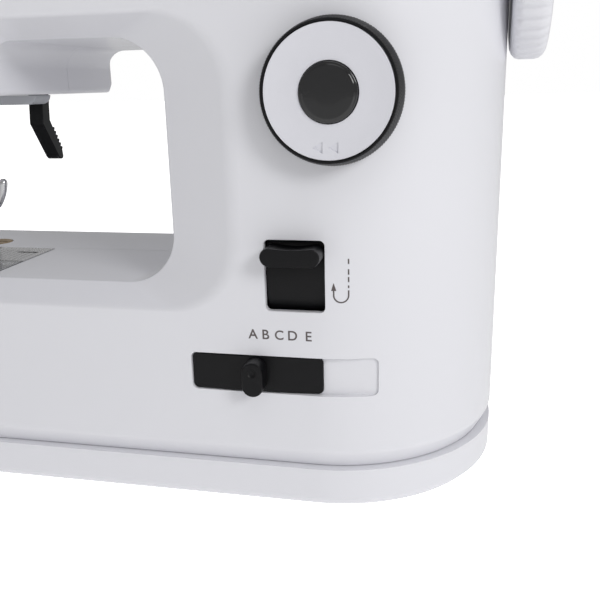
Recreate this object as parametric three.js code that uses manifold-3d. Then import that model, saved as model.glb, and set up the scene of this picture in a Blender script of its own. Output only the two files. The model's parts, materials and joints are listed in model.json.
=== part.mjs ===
import * as THREE from 'three';
import { mergeVertices } from 'three/addons/utils/BufferGeometryUtils.js';
import Module from 'manifold-3d';

// Compact domestic sewing machine. Millimetres, +Z up, the front faces -Y, the head is at -X.
// The origin is under the middle of the machine, on the surface that its feet stand on.

// Housing
const LEFT = -150.75;
const RIGHT = 133.75;
const FRONT = -57.75;
const REAR = 67.25;
const TOP = 252;
const WALL = 2.5;
const GAP = 0.3;
const BELT_GAP = 0.7;
const SEAM = 15.3;
const BASE_TOP = 19.9;
const SKIRT = 27.8;
const GROOVE = 4;
const FOOT_HEIGHT = 2.7;
const CORNERS = { frontRight: 70.5, rearRight: 52, left: 18 };
const TOP_ROUND = 14;

// Throat between bed and arm: the inner outline, and how far it flares at the front face
const BED = 93;
const ARM = 190;
const HEAD_BOTTOM = 169;
const HEAD_RIGHT = -69;
const PILLAR = 4.25;
const THROAT_ROUND = 21;
const FLARE = { bed: 7.8, pillar: 29, round: 7.5, depth: 12, rearShare: 0.35, rearDepth: 8 };

// Shafts and the needle
const SHAFT = { y: 12.85, z: 212, r: 4 };
const LOWER = { y: 12.85, z: 50, r: 3.5 };
const NEEDLE = { x: -119.5, y: -2.15, tip: 95 };
const PRESSER = { x: -119.5, y: 8.5 };
const BAR_R = 3;
const HOOK = { x: -119.5, y: -22 };
const MOTOR = { y: 42, z: 62, r: 16 };

// Controls
const DIAL = { x: 72.45, z: 168.1, face: 23, front: 9.5 };
const LEVER = { x: 57, y: -15.75, z: 100.6, r: 40 };
const SLIDER = { x: 35, r: 340, left: 13.65, right: 67.45, travel: 21.1, low: 52.5, high: 67.5, knob: 40.55 };
const LIFTER = { x: -81.65, y: 8.45, z: 176, width: 7.1, half: 2.95 };
const TENSION = { x: -95, z: 215 };
const TAKE_UP = { x: -119, y: -20, z: 200 };
const LAMP = { x0: -100, x1: -88, y0: -30, y1: -20 };
const SPOOL = { x: -40, y: 42 };
const WINDER = { x: 78, y: 30, stop: 99 };
const SOCKETS = { z: 100, inlet: 100, jack: 84 };
const SWITCH = { x: 60, z: 130 };
const BED_SCREW = { x: -126, y: 26.7, r: 7.5 };

const wasm = await Module();
wasm.setup();

const DEG = Math.PI / 180;
const X = new THREE.Vector3(1, 0, 0);
const Y = new THREE.Vector3(0, 1, 0);
const Z = new THREE.Vector3(0, 0, 1);

// A closed mesh becomes a solid: vertices are shared and triangles with no area are dropped.
function toSolid(geometry) {
  const bare = geometry.clone();
  bare.deleteAttribute('normal');
  bare.deleteAttribute('uv');
  const merged = mergeVertices(bare, 1e-4);
  const index = merged.index.array;
  const faces = [];
  for (let i = 0; i < index.length; i += 3) {
    const [a, b, c] = [index[i], index[i + 1], index[i + 2]];
    if (a !== b && b !== c && c !== a) faces.push(a, b, c);
  }
  const vertProperties = new Float32Array(merged.attributes.position.array);
  let volume = 0;
  const at = (i) => new THREE.Vector3().fromArray(vertProperties, 3 * i);
  for (let i = 0; i < faces.length; i += 3) {
    volume += at(faces[i]).dot(at(faces[i + 1]).cross(at(faces[i + 2])));
  }
  if (volume < 0) faces.reverse();
  const triVerts = new Uint32Array(faces);
  return new wasm.Manifold(new wasm.Mesh({ numProp: 3, vertProperties, triVerts }));
}

function join(first, ...rest) {
  return rest.reduce((whole, piece) => whole.add(piece), first);
}

function cut(first, ...rest) {
  return rest.reduce((whole, piece) => whole.subtract(piece), first);
}

function box(x0, x1, y0, y1, z0, z1) {
  const geometry = new THREE.BoxGeometry(x1 - x0, y1 - y0, z1 - z0);
  geometry.translate((x0 + x1) / 2, (y0 + y1) / 2, (z0 + z1) / 2);
  return toSolid(geometry);
}

// Turns a profile of [radius, height] pairs about an axis through (a, b): the two other coordinates.
function turned(profile, axis, a, b, sides = 20) {
  const geometry = new THREE.LatheGeometry(profile.map(([r, h]) => new THREE.Vector2(r, h)), sides);
  if (axis === 'x') {
    geometry.rotateZ(-Math.PI / 2);
    geometry.translate(0, a, b);
  } else if (axis === 'y') {
    geometry.translate(a, 0, b);
  } else {
    geometry.rotateX(Math.PI / 2);
    geometry.translate(a, b, 0);
  }
  return toSolid(geometry);
}

function rod(axis, a, b, radius, from, to, sides = 14) {
  return turned([[0, from], [radius, from], [radius, to], [0, to]], axis, a, b, sides);
}

function tube(axis, a, b, inner, outer, from, to, sides = 20) {
  return turned([[inner, from], [outer, from], [outer, to], [inner, to], [inner, from]], axis, a, b, sides);
}

// Extrudes an outline along an axis. The outline's own axes are (y, z), (x, z) or (x, y).
function slab(outline, axis, from, to) {
  const points = Array.isArray(outline) && outline.map(([u, v]) => new THREE.Vector2(u, v));
  const shape = points ? new THREE.Shape(points) : outline;
  const geometry = new THREE.ExtrudeGeometry(shape, { depth: to - from, bevelEnabled: false, curveSegments: 2 });
  if (axis === 'x') {
    geometry.applyMatrix4(new THREE.Matrix4().makeBasis(Y, Z, X));
    geometry.translate(from, 0, 0);
  } else if (axis === 'y') {
    geometry.rotateX(Math.PI / 2);
    geometry.translate(0, to, 0);
  } else {
    geometry.translate(0, 0, from);
  }
  return toSolid(geometry);
}

function roundedRect(u0, u1, v0, v1, r) {
  const shape = new THREE.Shape();
  shape.moveTo(u0 + r, v0);
  shape.lineTo(u1 - r, v0);
  shape.absarc(u1 - r, v0 + r, r, -90 * DEG, 0);
  shape.lineTo(u1, v1 - r);
  shape.absarc(u1 - r, v1 - r, r, 0, 90 * DEG);
  shape.lineTo(u0 + r, v1);
  shape.absarc(u0 + r, v1 - r, r, 90 * DEG, 180 * DEG);
  shape.lineTo(u0, v0 + r);
  shape.absarc(u0 + r, v0 + r, r, 180 * DEG, 270 * DEG);
  return shape;
}

function arc(cu, cv, r, from, to, steps) {
  const points = [];
  for (let i = 0; i <= steps; i += 1) {
    const angle = (from + (to - from) * i / steps) * DEG;
    points.push([cu + r * Math.cos(angle), cv + r * Math.sin(angle)]);
  }
  return points;
}

// Joins outlines of equal point count, each at its own place along Z or Y, into one closed solid.
function loft(outlines, places, axis) {
  const count = outlines[0].length;
  const positions = [];
  outlines.forEach((outline, k) => outline.forEach(([u, v]) => {
    positions.push(...(axis === 'z' ? [u, v, places[k]] : [u, places[k], v]));
  }));
  const index = [];
  for (let k = 0; k + 1 < outlines.length; k += 1) {
    for (let i = 0; i < count; i += 1) {
      const next = (i + 1) % count;
      const [a, b, c, d] = [k * count + i, k * count + next, (k + 1) * count + next, (k + 1) * count + i];
      index.push(a, b, c, a, c, d);
    }
  }
  const cap = (k, flip) => {
    const contour = outlines[k].map(([u, v]) => new THREE.Vector2(u, v));
    THREE.ShapeUtils.triangulateShape(contour, []).forEach(([a, b, c]) => {
      const face = flip ? [c, b, a] : [a, b, c];
      index.push(...face.map((i) => k * count + i));
    });
  };
  cap(0, true);
  cap(outlines.length - 1, false);
  const geometry = new THREE.BufferGeometry();
  geometry.setAttribute('position', new THREE.Float32BufferAttribute(positions, 3));
  geometry.setIndex(index);
  return toSolid(geometry);
}

// The housing seen from above, drawn in by an inset.
function plan(inset) {
  const [a, b, c] = [CORNERS.frontRight, CORNERS.rearRight, CORNERS.left];
  return [
    ...arc(RIGHT - a, FRONT + a, a - inset, -90, 0, 12),
    ...arc(RIGHT - b, REAR - b, b - inset, 0, 90, 8),
    ...arc(LEFT + c, REAR - c, c - inset, 90, 180, 3),
    ...arc(LEFT + c, FRONT + c, c - inset, 180, 270, 3),
  ];
}

// The throat seen from the front. Flare 0 is its inner outline and 1 the edge at the front face.
function throat(flare, grow) {
  const bed = BED - FLARE.bed * flare - grow;
  const pillar = PILLAR + FLARE.pillar * flare + grow;
  const round = THROAT_ROUND + FLARE.round * flare + grow;
  const arm = ARM + FLARE.bed * flare + grow;
  const head = HEAD_RIGHT - FLARE.bed * flare - grow;
  const under = HEAD_BOTTOM + FLARE.bed * flare + grow;
  const headRound = 10 + grow;
  const outside = LEFT - 20;
  return [
    [outside, bed],
    ...arc(pillar - round, bed + round, round, -90, 0, 6),
    ...arc(pillar - round, arm - round, round, 0, 90, 6),
    ...arc(head + headRound, arm - headRound, headRound, 90, 180, 3),
    [head, under],
    [outside, under],
  ];
}

function throatCutter(grow) {
  const past = 4;
  const frontFlare = 1 + past / FLARE.depth;
  const rearFlare = FLARE.rearShare * (1 + past / FLARE.rearDepth);
  const flares = [frontFlare, 0, 0, rearFlare];
  const frontPlaces = [FRONT - past + grow, FRONT + FLARE.depth + grow];
  const rearPlaces = [REAR - FLARE.rearDepth - grow, REAR + past - grow];
  return loft(flares.map((flare) => throat(flare, grow)), [...frontPlaces, ...rearPlaces], 'y');
}

function bodyBlock(inset) {
  const steps = [0, 30, 60, 90];
  const round = TOP_ROUND - inset;
  const drop = inset ? 2 : 0;
  const topInsets = steps.map((a) => inset + round * (1 - Math.cos(a * DEG)));
  const topHeights = steps.map((a) => TOP - TOP_ROUND + round * Math.sin(a * DEG));
  const insets = [GROOVE + inset * 1.3 + drop / 2, inset, ...topInsets];
  const heights = [BASE_TOP + GAP - drop, SKIRT, ...topHeights];
  return cut(loft(insets.map(plan), heights, 'z'), throatCutter(inset));
}

// The slot for the group slider follows its arc, so its floor is an arc about the same axis.
function sliderBand(inner, outer, left, right, low, high) {
  const [cx, cy] = [SLIDER.x, FRONT + SLIDER.r];
  const turn = (x, r) => 270 + Math.asin((x - cx) / r) / DEG;
  const floor = arc(cx, cy, inner, turn(left, inner), turn(right, inner), 7);
  const face = arc(cx, cy, outer, turn(left, outer), turn(right, outer), 7).reverse();
  const band = slab([...floor, ...face], 'z', low, high);
  return band.intersect(slab(roundedRect(left, right, low, high, 2), 'y', FRONT - 12, FRONT + 12));
}

const front = (solid) => solid.intersect(box(LEFT - 5, RIGHT + 5, FRONT - 20, SEAM - GAP / 2, 0, TOP + 5));
const rear = (solid) => solid.intersect(box(LEFT - 5, RIGHT + 5, SEAM + GAP / 2, REAR + 5, 0, TOP + 5));

const PLATE = { x0: -138, x1: -84.5, y0: -43, split: -16, y1: 12.8, low: 90.7, high: 93.3 };

// The needle bar, the presser bar and the lifter leave the head through these openings.
const HEAD_OPENINGS = [
  box(-140, -87, -6.5, 12.5, 164, 176),
  box(LIFTER.x - LIFTER.width / 2 - 0.8, LIFTER.x + LIFTER.width / 2 + 0.8, 2, 27, 164, 176),
  box(LAMP.x0 - GAP, LAMP.x1 + GAP, LAMP.y0 - GAP, LAMP.y1 + GAP, 164, 176),
];

function frontCover(shell) {
  const frame = box(PLATE.x0 - 3, PLATE.x1 + 3, PLATE.y0 - 2, SEAM - GAP / 2, 87.5, 92);
  const neck = rod('y', DIAL.x, DIAL.z, 22.5, FRONT + 0.35, FRONT + 12, 32);
  const sliderPad = box(10, 82, FRONT + 1, FRONT + 6, 49, 71);
  const kx = SLIDER.knob;
  return cut(join(front(shell), frame, neck, sliderPad),
    box(PLATE.x0 - GAP, PLATE.x1 + GAP, PLATE.y0 - GAP, PLATE.y1 + GAP, PLATE.low - GAP, 96),
    box(PLATE.x0 + 2.5, PLATE.x1 - 2.5, PLATE.y0 + 2.5, PLATE.y1 - 1.2, 80, 96),
    rod('y', DIAL.x, DIAL.z, 19.5, FRONT + WALL + 0.4, FRONT + 14, 24),
    rod('y', DIAL.x, DIAL.z, 3.4, FRONT - 2, FRONT + 14),
    slab(roundedRect(45.25, 68.75, 86.6, 114.6, 2), 'y', FRONT - 3, FRONT + 5),
    sliderBand(SLIDER.r - 1.5, SLIDER.r + 8, SLIDER.left - GAP, SLIDER.right + SLIDER.travel + 0.35,
      SLIDER.low - GAP, SLIDER.high + GAP),
    box(kx - 2.4, kx + SLIDER.travel + 2.6, FRONT - 2, FRONT + 12, 56.5, 63.5),
    box(TAKE_UP.x - 3.2, TAKE_UP.x + 3.2, FRONT - 3, FRONT + 6, 178, 234),
    rod('y', TENSION.x, TENSION.z, 3.4, FRONT - 3, FRONT + 6),
    rod('x', SHAFT.y, SHAFT.z, 5.5, RIGHT - 12, RIGHT + 3),
    ...HEAD_OPENINGS);
}

function rearCover(shell) {
  const { x, y, r } = BED_SCREW;
  const seat = rod('z', x, y, r + 2.5, BED - 4.4, BED - 1, 24);
  return cut(join(rear(shell), seat),
    ...HEAD_OPENINGS,
    rod('x', SHAFT.y, SHAFT.z, 5.5, RIGHT - 12, RIGHT + 3),
    rod('z', SPOOL.x, SPOOL.y, BAR_R + 0.4, TOP - 6, TOP + 2),
    slab(roundedRect(WINDER.x - 3.6, WINDER.x + 7.6, WINDER.y - 3.6, WINDER.y + 3.6, 3.5), 'z', TOP - 6, TOP + 2),
    rod('y', SOCKETS.inlet, SOCKETS.z, 5.6, REAR - 20, REAR + 2),
    rod('y', SOCKETS.jack, SOCKETS.z, 4.6, REAR - 20, REAR + 2),
    box(SWITCH.x - 6.6, SWITCH.x + 6.6, REAR - 10, REAR + 3, SWITCH.z - 10.6, SWITCH.z + 10.6),
    rod('z', x, y, r + 0.4, BED - 1.9, BED + 2, 24),
    rod('z', x, y, 2.6, BED - 8, BED + 2));
}

function baseTray() {
  const outer = loft([plan(3), plan(0), plan(0)], [FOOT_HEIGHT + GAP, 6, BASE_TOP], 'z');
  const inner = loft([plan(5.5), plan(WALL), plan(WALL)], [5.5, 8.5, BASE_TOP + 2], 'z');
  return cut(outer, inner);
}

function needlePlate() {
  const { x0, x1, split, y1, low, high } = PLATE;
  const slots = [-6.15, 3.45].map((x) => box(NEEDLE.x + x, NEEDLE.x + x + 2.7, -2, 11.6, low - 2, high + 2));
  return cut(box(x0, x1, split, y1, low, high),
    slab(roundedRect(NEEDLE.x - 2.4, NEEDLE.x + 2.4, NEEDLE.y - 1.2, NEEDLE.y + 1.2, 1.1), 'z', low - 2, high + 2),
    slab(roundedRect(-99, -87.7, 1.6, 3.4, 0.9), 'z', low - 2, high + 2),
    ...slots);
}

function feedDog() {
  const start = -0.2;
  const length = 10;
  const rows = [-5.85, 3.75].map((offset) => {
    const teeth = [[start, 87]];
    for (let i = 0; i < 5; i += 1) {
      teeth.push([start + 2 * i, 93.7]);
      teeth.push([start + 2 * i + 1.7, 92.8]);
    }
    teeth.push([start + length, 93.7], [start + length, 87]);
    return slab(teeth, 'x', NEEDLE.x + offset, NEEDLE.x + offset + 2.1);
  });
  const bridge = box(NEEDLE.x - 5.85, NEEDLE.x + 5.85, 2, start + length, 84, 87.2);
  return join(bridge, box(NEEDLE.x + 5.75, -70, 4, 9, 83.4, 86.8), ...rows);
}

function headPlate() {
  const outline = [[-146, 164.7], [-76, 164.7], [-73, 168.7], [-146, 168.7]];
  return cut(slab(outline, 'y', -8, 13),
    rod('z', NEEDLE.x, NEEDLE.y, 3.6, 160, 172),
    rod('z', PRESSER.x, PRESSER.y, 3.6, 160, 172),
    box(LIFTER.x - LIFTER.width / 2 - 0.6, -70, 4.6, 27, 160, 172));
}

function dialRing() {
  const back = FRONT - 0.2;
  const face = FRONT - DIAL.front;
  return turned([[3.3, back], [25.8, back], [25.4, back - 1.5], [24.3, face + 0.4], [24, face],
    [23.3, face], [23.3, back - 2], [3.3, back - 2], [3.3, back]], 'y', DIAL.x, DIAL.z, 36);
}

function dialFace() {
  const back = FRONT - 2.5;
  return turned([[10.7, back], [DIAL.face, back], [DIAL.face, FRONT - 9.2], [17, FRONT - 8.6],
    [10.7, FRONT - 8.7], [10.7, back]], 'y', DIAL.x, DIAL.z, 32);
}

function dialHub() {
  const back = FRONT - 2.5;
  return turned([[0, back], [10.4, back], [10.4, FRONT - 9], [9.4, FRONT - 9.4], [0, FRONT - 9.45]],
    'y', DIAL.x, DIAL.z, 24);
}

function camStack() {
  const discs = [];
  for (let i = 0; i < 4; i += 1) {
    const y = -40 + 8 * i;
    const lobe = [];
    for (let k = 0; k < 20; k += 1) {
      const angle = k * 18 * DEG;
      const r = 13 + 1.4 * Math.cos((2 + i) * angle);
      lobe.push([DIAL.x + r * Math.cos(angle), DIAL.z + r * Math.sin(angle)]);
    }
    discs.push(slab(lobe, 'y', y, y + 4));
  }
  return cut(join(rod('y', DIAL.x, DIAL.z, 7, -40, -10), ...discs),
    rod('y', DIAL.x, DIAL.z, 3.3, -45, -5));
}

// A curved shutter fills the window behind the lever, whatever the lever's angle.
function reverseLever() {
  const half = 11.4;
  const shutter = slab([...arc(LEVER.y, LEVER.z, LEVER.r, 138, 201, 9),
    ...arc(LEVER.y, LEVER.z, LEVER.r - 2, 201, 138, 9)], 'x', LEVER.x - half, LEVER.x + half);
  const tip = FRONT - 8.4;
  const handle = slab(roundedRect(LEVER.x - 11.4, LEVER.x + 11.4, 105.9, 113.3, 3.6), 'y', tip, FRONT - 3);
  const stem = box(LEVER.x - 10, LEVER.x + 10, FRONT - 4, FRONT + 3.4, 106.6, 112.2);
  const arms = [-half, half - 2.5].map((x) => slab([[LEVER.y - 39, LEVER.z - 6], [LEVER.y + 2, LEVER.z - 4],
    [LEVER.y + 2, LEVER.z + 4], [LEVER.y - 39, LEVER.z + 8]], 'x', LEVER.x + x, LEVER.x + x + 2.5));
  const pivot = rod('x', LEVER.y, LEVER.z, 3, LEVER.x - half - 3, LEVER.x + half + 3);
  return join(shutter, handle, stem, pivot, ...arms);
}

function coilSpring(x, y, low, high, radius, wire, turns) {
  class Helix extends THREE.Curve {
    getPoint(t, target = new THREE.Vector3()) {
      const angle = 2 * Math.PI * turns * t;
      return target.set(x + radius * Math.cos(angle), y + radius * Math.sin(angle), low + (high - low) * t);
    }
  }
  const section = new THREE.Shape(arc(0, 0, wire, 0, 270, 3).map(([u, v]) => new THREE.Vector2(u, v)));
  return toSolid(new THREE.ExtrudeGeometry(section, { steps: turns * 8, extrudePath: new Helix() }));
}

function groupSlider() {
  const kx = SLIDER.knob;
  return join(sliderBand(SLIDER.r - 1.2, SLIDER.r, SLIDER.left, SLIDER.right, SLIDER.low, SLIDER.high),
    box(kx - 2, kx + 2, FRONT + 0.6, FRONT + 10, 57, 63));
}

function sliderKnob() {
  const kx = SLIDER.knob;
  const tip = FRONT - 7.5;
  return slab(roundedRect(kx - 4.3, kx + 4.3, 52.9, 67.1, 4.2), 'y', tip, FRONT - GAP);
}

function presserLifter() {
  const { x, y, z, width, half } = LIFTER;
  const leg = slab([[y - half, z], [y - half, 155], [y + 8, 139.6], [y + 11, 139], [y + 12.6, 141],
    [y + half, 157], [y + half, z]], 'x', x - width / 2, x + width / 2);
  return join(leg,
    rod('x', y, z, 4.5, x - width / 2, x + width / 2),
    rod('x', y, z, 2.5, -104, x + width / 2),
    box(-104, -100.4, y, y + 10, z - 2, z + 2));
}

function chassis() {
  const solid = join(
    box(-135, 60, 4, 22, 24, 30),
    box(-134, -126, 6, 20, 5.8, 24.5),
    box(44, 52, 6, 20, 5.8, 24.5),
    box(20, 28, 4, 22, 29, 240),
    box(-90, -84, 4, 22, 29, 58),
    box(NEEDLE.x - 11.5, 60, 14.5, 22, 233, 240),
    box(-92, -86, 4, 22, 203, 234),
    box(52, 58, 4, 22, 203, 234),
    box(NEEDLE.x - 11.5, NEEDLE.x - 7.5, -6, 22, 172, 240),
    box(NEEDLE.x - 8.5, NEEDLE.x + 6.5, -6, 14, 172, 175.5),
    box(NEEDLE.x - 8.5, NEEDLE.x + 6.5, -6, 14, 222, 226));
  return cut(solid,
    rod('x', LOWER.y, LOWER.z, LOWER.r + GAP, -100, 40),
    rod('x', SHAFT.y, SHAFT.z, SHAFT.r + GAP, -100, 70),
    rod('z', NEEDLE.x, NEEDLE.y, BAR_R + GAP, 165, 230),
    rod('z', PRESSER.x, PRESSER.y, BAR_R + GAP, 165, 230),
    box(NEEDLE.x + 2.75, -100, -5.2, 0.9, 170, 180));
}

// A belt is the gap between two offsets of the line round its two pulleys.
function belt(a, b, thickness, x0, x1) {
  const loop = (grow) => {
    const [ra, rb] = [a.r + grow, b.r + grow];
    const span = Math.hypot(b.y - a.y, b.z - a.z);
    const along = Math.atan2(b.z - a.z, b.y - a.y) / DEG;
    const lean = Math.acos((ra - rb) / span) / DEG;
    return [...arc(a.y, a.z, ra, along + lean, along + 360 - lean, 9),
      ...arc(b.y, b.z, rb, along - lean, along + lean, 9)];
  };
  return cut(slab(loop(BELT_GAP + thickness), 'x', x0, x1), slab(loop(BELT_GAP), 'x', x0 - 1, x1 + 1));
}

function handwheel() {
  return turned([[4.4, 134.4], [26, 134.4], [31, 135.5], [33, 138], [33, 145], [31.4, 148], [28.5, 149],
    [26.5, 147.4], [14, 146.6], [13, 147.6], [4.4, 147.6], [4.4, 134.4]], 'x', SHAFT.y, SHAFT.z, 32);
}

function hook() {
  const cup = turned([[0, 66], [17, 66], [17, 84], [15.4, 85.6], [13, 85.6], [13, 69], [0, 69]],
    'z', HOOK.x, HOOK.y, 24);
  return join(cup, rod('z', HOOK.x, HOOK.y, 4, 40, 67), rod('z', HOOK.x, HOOK.y, 16.9, 46, 54, 20));
}

function spindle() {
  return turned([[0, 232], [2.8, 232], [2.8, 238], [10.5, 238], [10.5, 244], [2.8, 244], [2.8, 268],
    [1.8, 270], [0, 270]], 'z', WINDER.x, WINDER.y, 16);
}

function bobbin() {
  return turned([[3.2, 69.6], [10.2, 69.6], [10.2, 70.6], [4.4, 70.6], [4.4, 79.6], [10.2, 79.6],
    [10.2, 80.6], [3.2, 80.6], [3.2, 69.6]], 'z', HOOK.x, HOOK.y, 16);
}

function presserFoot() {
  const { x } = PRESSER;
  const sole = cut(box(x - 5.25, x + 5.25, -15, 9.4, 93.9, 95.7),
    slab(roundedRect(x - 2.65, x + 2.65, -4.6, 0.4, 1.5), 'z', 92, 97),
    box(x - 0.85, x + 0.85, -17, -8, 92, 97));
  return join(sole, box(x - 1.85, x + 1.85, 5, 9.2, 95.5, 100));
}

function footHolder() {
  const { x, y } = PRESSER;
  return cut(join(rod('z', x, y, 4.4, 103.7, 112), box(x - 4.25, x + 4.25, 4.4, 12.6, 96.9, 106)),
    box(x - 2.25, x + 2.25, 2, 10, 96, 102),
    rod('z', x, y, BAR_R + GAP, 106.5, 114));
}

function takeUpLever() {
  const { x, y, z } = TAKE_UP;
  const lift = 15 * DEG;
  const at = (along, across) => [y - along * Math.cos(lift) - across * Math.sin(lift),
    z + along * Math.sin(lift) - across * Math.cos(lift)];
  const arm = slab([at(-4, -4), at(30, -2.6), at(46.5, -2.6), at(46.5, 2.6), at(30, 2.6), at(-4, 4)],
    'x', x - 1.5, x + 1.5);
  const [ey, ez] = at(43.2, 0);
  return cut(join(arm, rod('x', y, z, 5, x - 3, x + 3)), rod('x', ey, ez, 1.3, x - 4, x + 4, 12));
}

const FINISHES = {
  white: ['#ececf0', 0.3, 0],
  black: ['#1a1a1c', 0.35, 0],
  grey: ['#9a9aa2', 0.5, 0],
  dialWhite: ['#e6e6ec', 0.35, 0],
  steel: ['#b9bbc0', 0.3, 1],
  castMetal: ['#8f9296', 0.55, 0.8],
  rubber: ['#26262a', 0.8, 0],
  clear: ['#e8eef4', 0.1, 0],
  brass: ['#b08a58', 0.4, 1],
  board: ['#1f5a3a', 0.6, 0],
};

const machine = new THREE.Group();

function part(group, name, solid, finish) {
  const mesh = solid.getMesh();
  const geometry = new THREE.BufferGeometry();
  geometry.setAttribute('position', new THREE.Float32BufferAttribute(mesh.vertProperties, 3));
  geometry.setIndex(Array.from(mesh.triVerts));
  geometry.computeVertexNormals();
  const [color, roughness, metalness] = FINISHES[finish];
  const piece = new THREE.Mesh(geometry, new THREE.MeshStandardMaterial({ color, roughness, metalness }));
  geometry.computeBoundingBox();
  geometry.boundingBox.getCenter(piece.position);
  geometry.translate(-piece.position.x, -piece.position.y, -piece.position.z);
  piece.name = name;
  group.add(piece);
}

function assembly() {
  const group = new THREE.Group();
  machine.add(group);
  return group;
}

const shell = cut(bodyBlock(0), bodyBlock(WALL));

const housing = assembly();
part(housing, 'front_cover', frontCover(shell), 'white');
part(housing, 'rear_cover', rearCover(shell), 'white');
part(housing, 'base_tray', baseTray(), 'white');
[[-126, -34], [98, -26], [98, 42], [-126, 44]].forEach(([x, y], i) => {
  part(housing, `foot_${i + 1}`, rod('z', x, y, 8, 0, FOOT_HEIGHT), 'rubber');
});
part(housing, 'head_plate', headPlate(), 'grey');
part(housing, 'lamp_lens', box(LAMP.x0, LAMP.x1, LAMP.y0, LAMP.y1, 169.2, 171.6), 'clear');
part(housing, 'needle_plate', needlePlate(), 'steel');
part(housing, 'bobbin_cover',
  box(PLATE.x0, PLATE.x1, PLATE.y0, PLATE.split - GAP, PLATE.low, PLATE.high), 'clear');
part(housing, 'bed_screw', turned([[0, 84], [2.2, 84], [2.2, 91.4], [BED_SCREW.r, 91.4], [BED_SCREW.r, 92.9],
  [BED_SCREW.r - 0.6, 93.3], [0, 93.3]], 'z', BED_SCREW.x, BED_SCREW.y, 24), 'brass');
part(housing, 'chassis', chassis(), 'castMetal');
part(housing, 'circuit_board', box(34, 86, 52, 54, 122, 182), 'board');
part(housing, 'power_inlet', tube('y', SOCKETS.inlet, SOCKETS.z, 3.2, 5.2, 50, 65), 'black');
part(housing, 'pedal_jack', tube('y', SOCKETS.jack, SOCKETS.z, 2, 4.2, 54, 67), 'black');
part(housing, 'winder_stop', turned([[0, TOP + GAP], [6, TOP + GAP], [6, TOP + 8], [5, TOP + 9], [0, TOP + 9]],
  'z', WINDER.stop, WINDER.y), 'white');
part(housing, 'thread_guide', cut(slab([[36, TOP + GAP], [47, TOP + GAP], [47, TOP + 3], [41, TOP + 11],
  [36, TOP + 11]], 'x', -97, -93.5), rod('x', 40, TOP + 7, 1.8, -100, -90, 12)), 'steel');
part(housing, 'presser_spring', coilSpring(PRESSER.x, PRESSER.y, 190.6, 220.6, 4.2, 0.6, 7), 'steel');
part(housing, 'reverse_spring', coilSpring(LEVER.x - 18, LEVER.y, 90, 118, 2.4, 0.5, 7), 'steel');

const drive = assembly();
part(drive, 'main_shaft', rod('x', SHAFT.y, SHAFT.z, SHAFT.r, -93.7, 147), 'steel');
part(drive, 'handwheel', handwheel(), 'white');
part(drive, 'handwheel_cap', turned([[0, 148], [11.5, 148], [11.5, 150], [9, 150.75], [0, 150.75]],
  'x', SHAFT.y, SHAFT.z), 'grey');
part(drive, 'crank_disc', join(rod('x', SHAFT.y, SHAFT.z, 18.5, -98, -94, 20),
  rod('x', SHAFT.y - 14.5, SHAFT.z, 2.5, -100.7, -97.9, 10)), 'castMetal');
part(drive, 'upper_pulley', tube('x', SHAFT.y, SHAFT.z, 4.3, 12, 92, 98), 'black');
part(drive, 'belt_wheel', tube('x', SHAFT.y, SHAFT.z, 4.3, 22, 102, 107, 24), 'black');
part(drive, 'lower_pulley', tube('x', LOWER.y, LOWER.z, 3.8, 12, 92, 98), 'black');
part(drive, 'lower_shaft', rod('x', LOWER.y, LOWER.z, LOWER.r, NEEDLE.x - 6.25, 100), 'steel');
part(drive, 'shaft_gear', tube('x', LOWER.y, LOWER.z, 3.8, 17, NEEDLE.x - 4.25, NEEDLE.x + 4.25, 20), 'grey');
part(drive, 'timing_belt', belt({ y: SHAFT.y, z: SHAFT.z, r: 12 }, { y: LOWER.y, z: LOWER.z, r: 12 },
  1.5, 92.5, 97.5), 'rubber');
part(drive, 'motor', join(rod('x', MOTOR.y, MOTOR.z, MOTOR.r, 40, 86, 20), rod('x', MOTOR.y, MOTOR.z, 6, 85, 89)),
  'castMetal');
part(drive, 'motor_pulley', join(rod('x', MOTOR.y, MOTOR.z, 2, 89.3, 103, 10),
  rod('x', MOTOR.y, MOTOR.z, 6, 102, 107)), 'steel');
part(drive, 'drive_belt', belt({ y: MOTOR.y, z: MOTOR.z, r: 6 }, { y: SHAFT.y, z: SHAFT.z, r: 22 },
  1.8, 102.5, 106.5), 'rubber');
part(drive, 'hook', hook(), 'steel');
part(drive, 'bobbin', bobbin(), 'clear');
part(drive, 'feed_dog', feedDog(), 'steel');

const needleWork = assembly();
part(needleWork, 'needle_bar', rod('z', NEEDLE.x, NEEDLE.y, BAR_R, 131.3, 232), 'steel');
part(needleWork, 'needle_clamp', rod('z', NEEDLE.x, NEEDLE.y, 4.6, 121, 131, 20), 'steel');
part(needleWork, 'clamp_screw', turned([[0, NEEDLE.x + 4.95], [1.6, NEEDLE.x + 4.95], [1.6, -103.6],
  [3.4, -103.2], [3.4, -98.6], [2.8, -98], [0, -98]], 'x', NEEDLE.y, 126, 14), 'steel');
part(needleWork, 'needle', turned([[0, NEEDLE.tip], [0.5, NEEDLE.tip + 5], [0.6, 110], [1, 111], [1, 120.7],
  [0, 120.7]], 'z', NEEDLE.x, NEEDLE.y, 12), 'steel');
part(needleWork, 'connecting_link', join(slab(roundedRect(-6.2, 1.9, 186.5, 216, 3.9), 'x', -104, -101),
  rod('x', NEEDLE.y, 191, 2.4, NEEDLE.x + 3.35, -103.9, 10)), 'castMetal');
part(needleWork, 'presser_bar', join(rod('z', PRESSER.x, PRESSER.y, BAR_R, 106.9, 232),
  box(PRESSER.x - 1.25, -100.6, 5, 18, 179.3, 183)), 'steel');
part(needleWork, 'foot_holder', footHolder(), 'steel');
part(needleWork, 'presser_foot', presserFoot(), 'steel');
part(needleWork, 'presser_lifter', presserLifter(), 'black');
part(needleWork, 'take_up_lever', takeUpLever(), 'steel');

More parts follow.
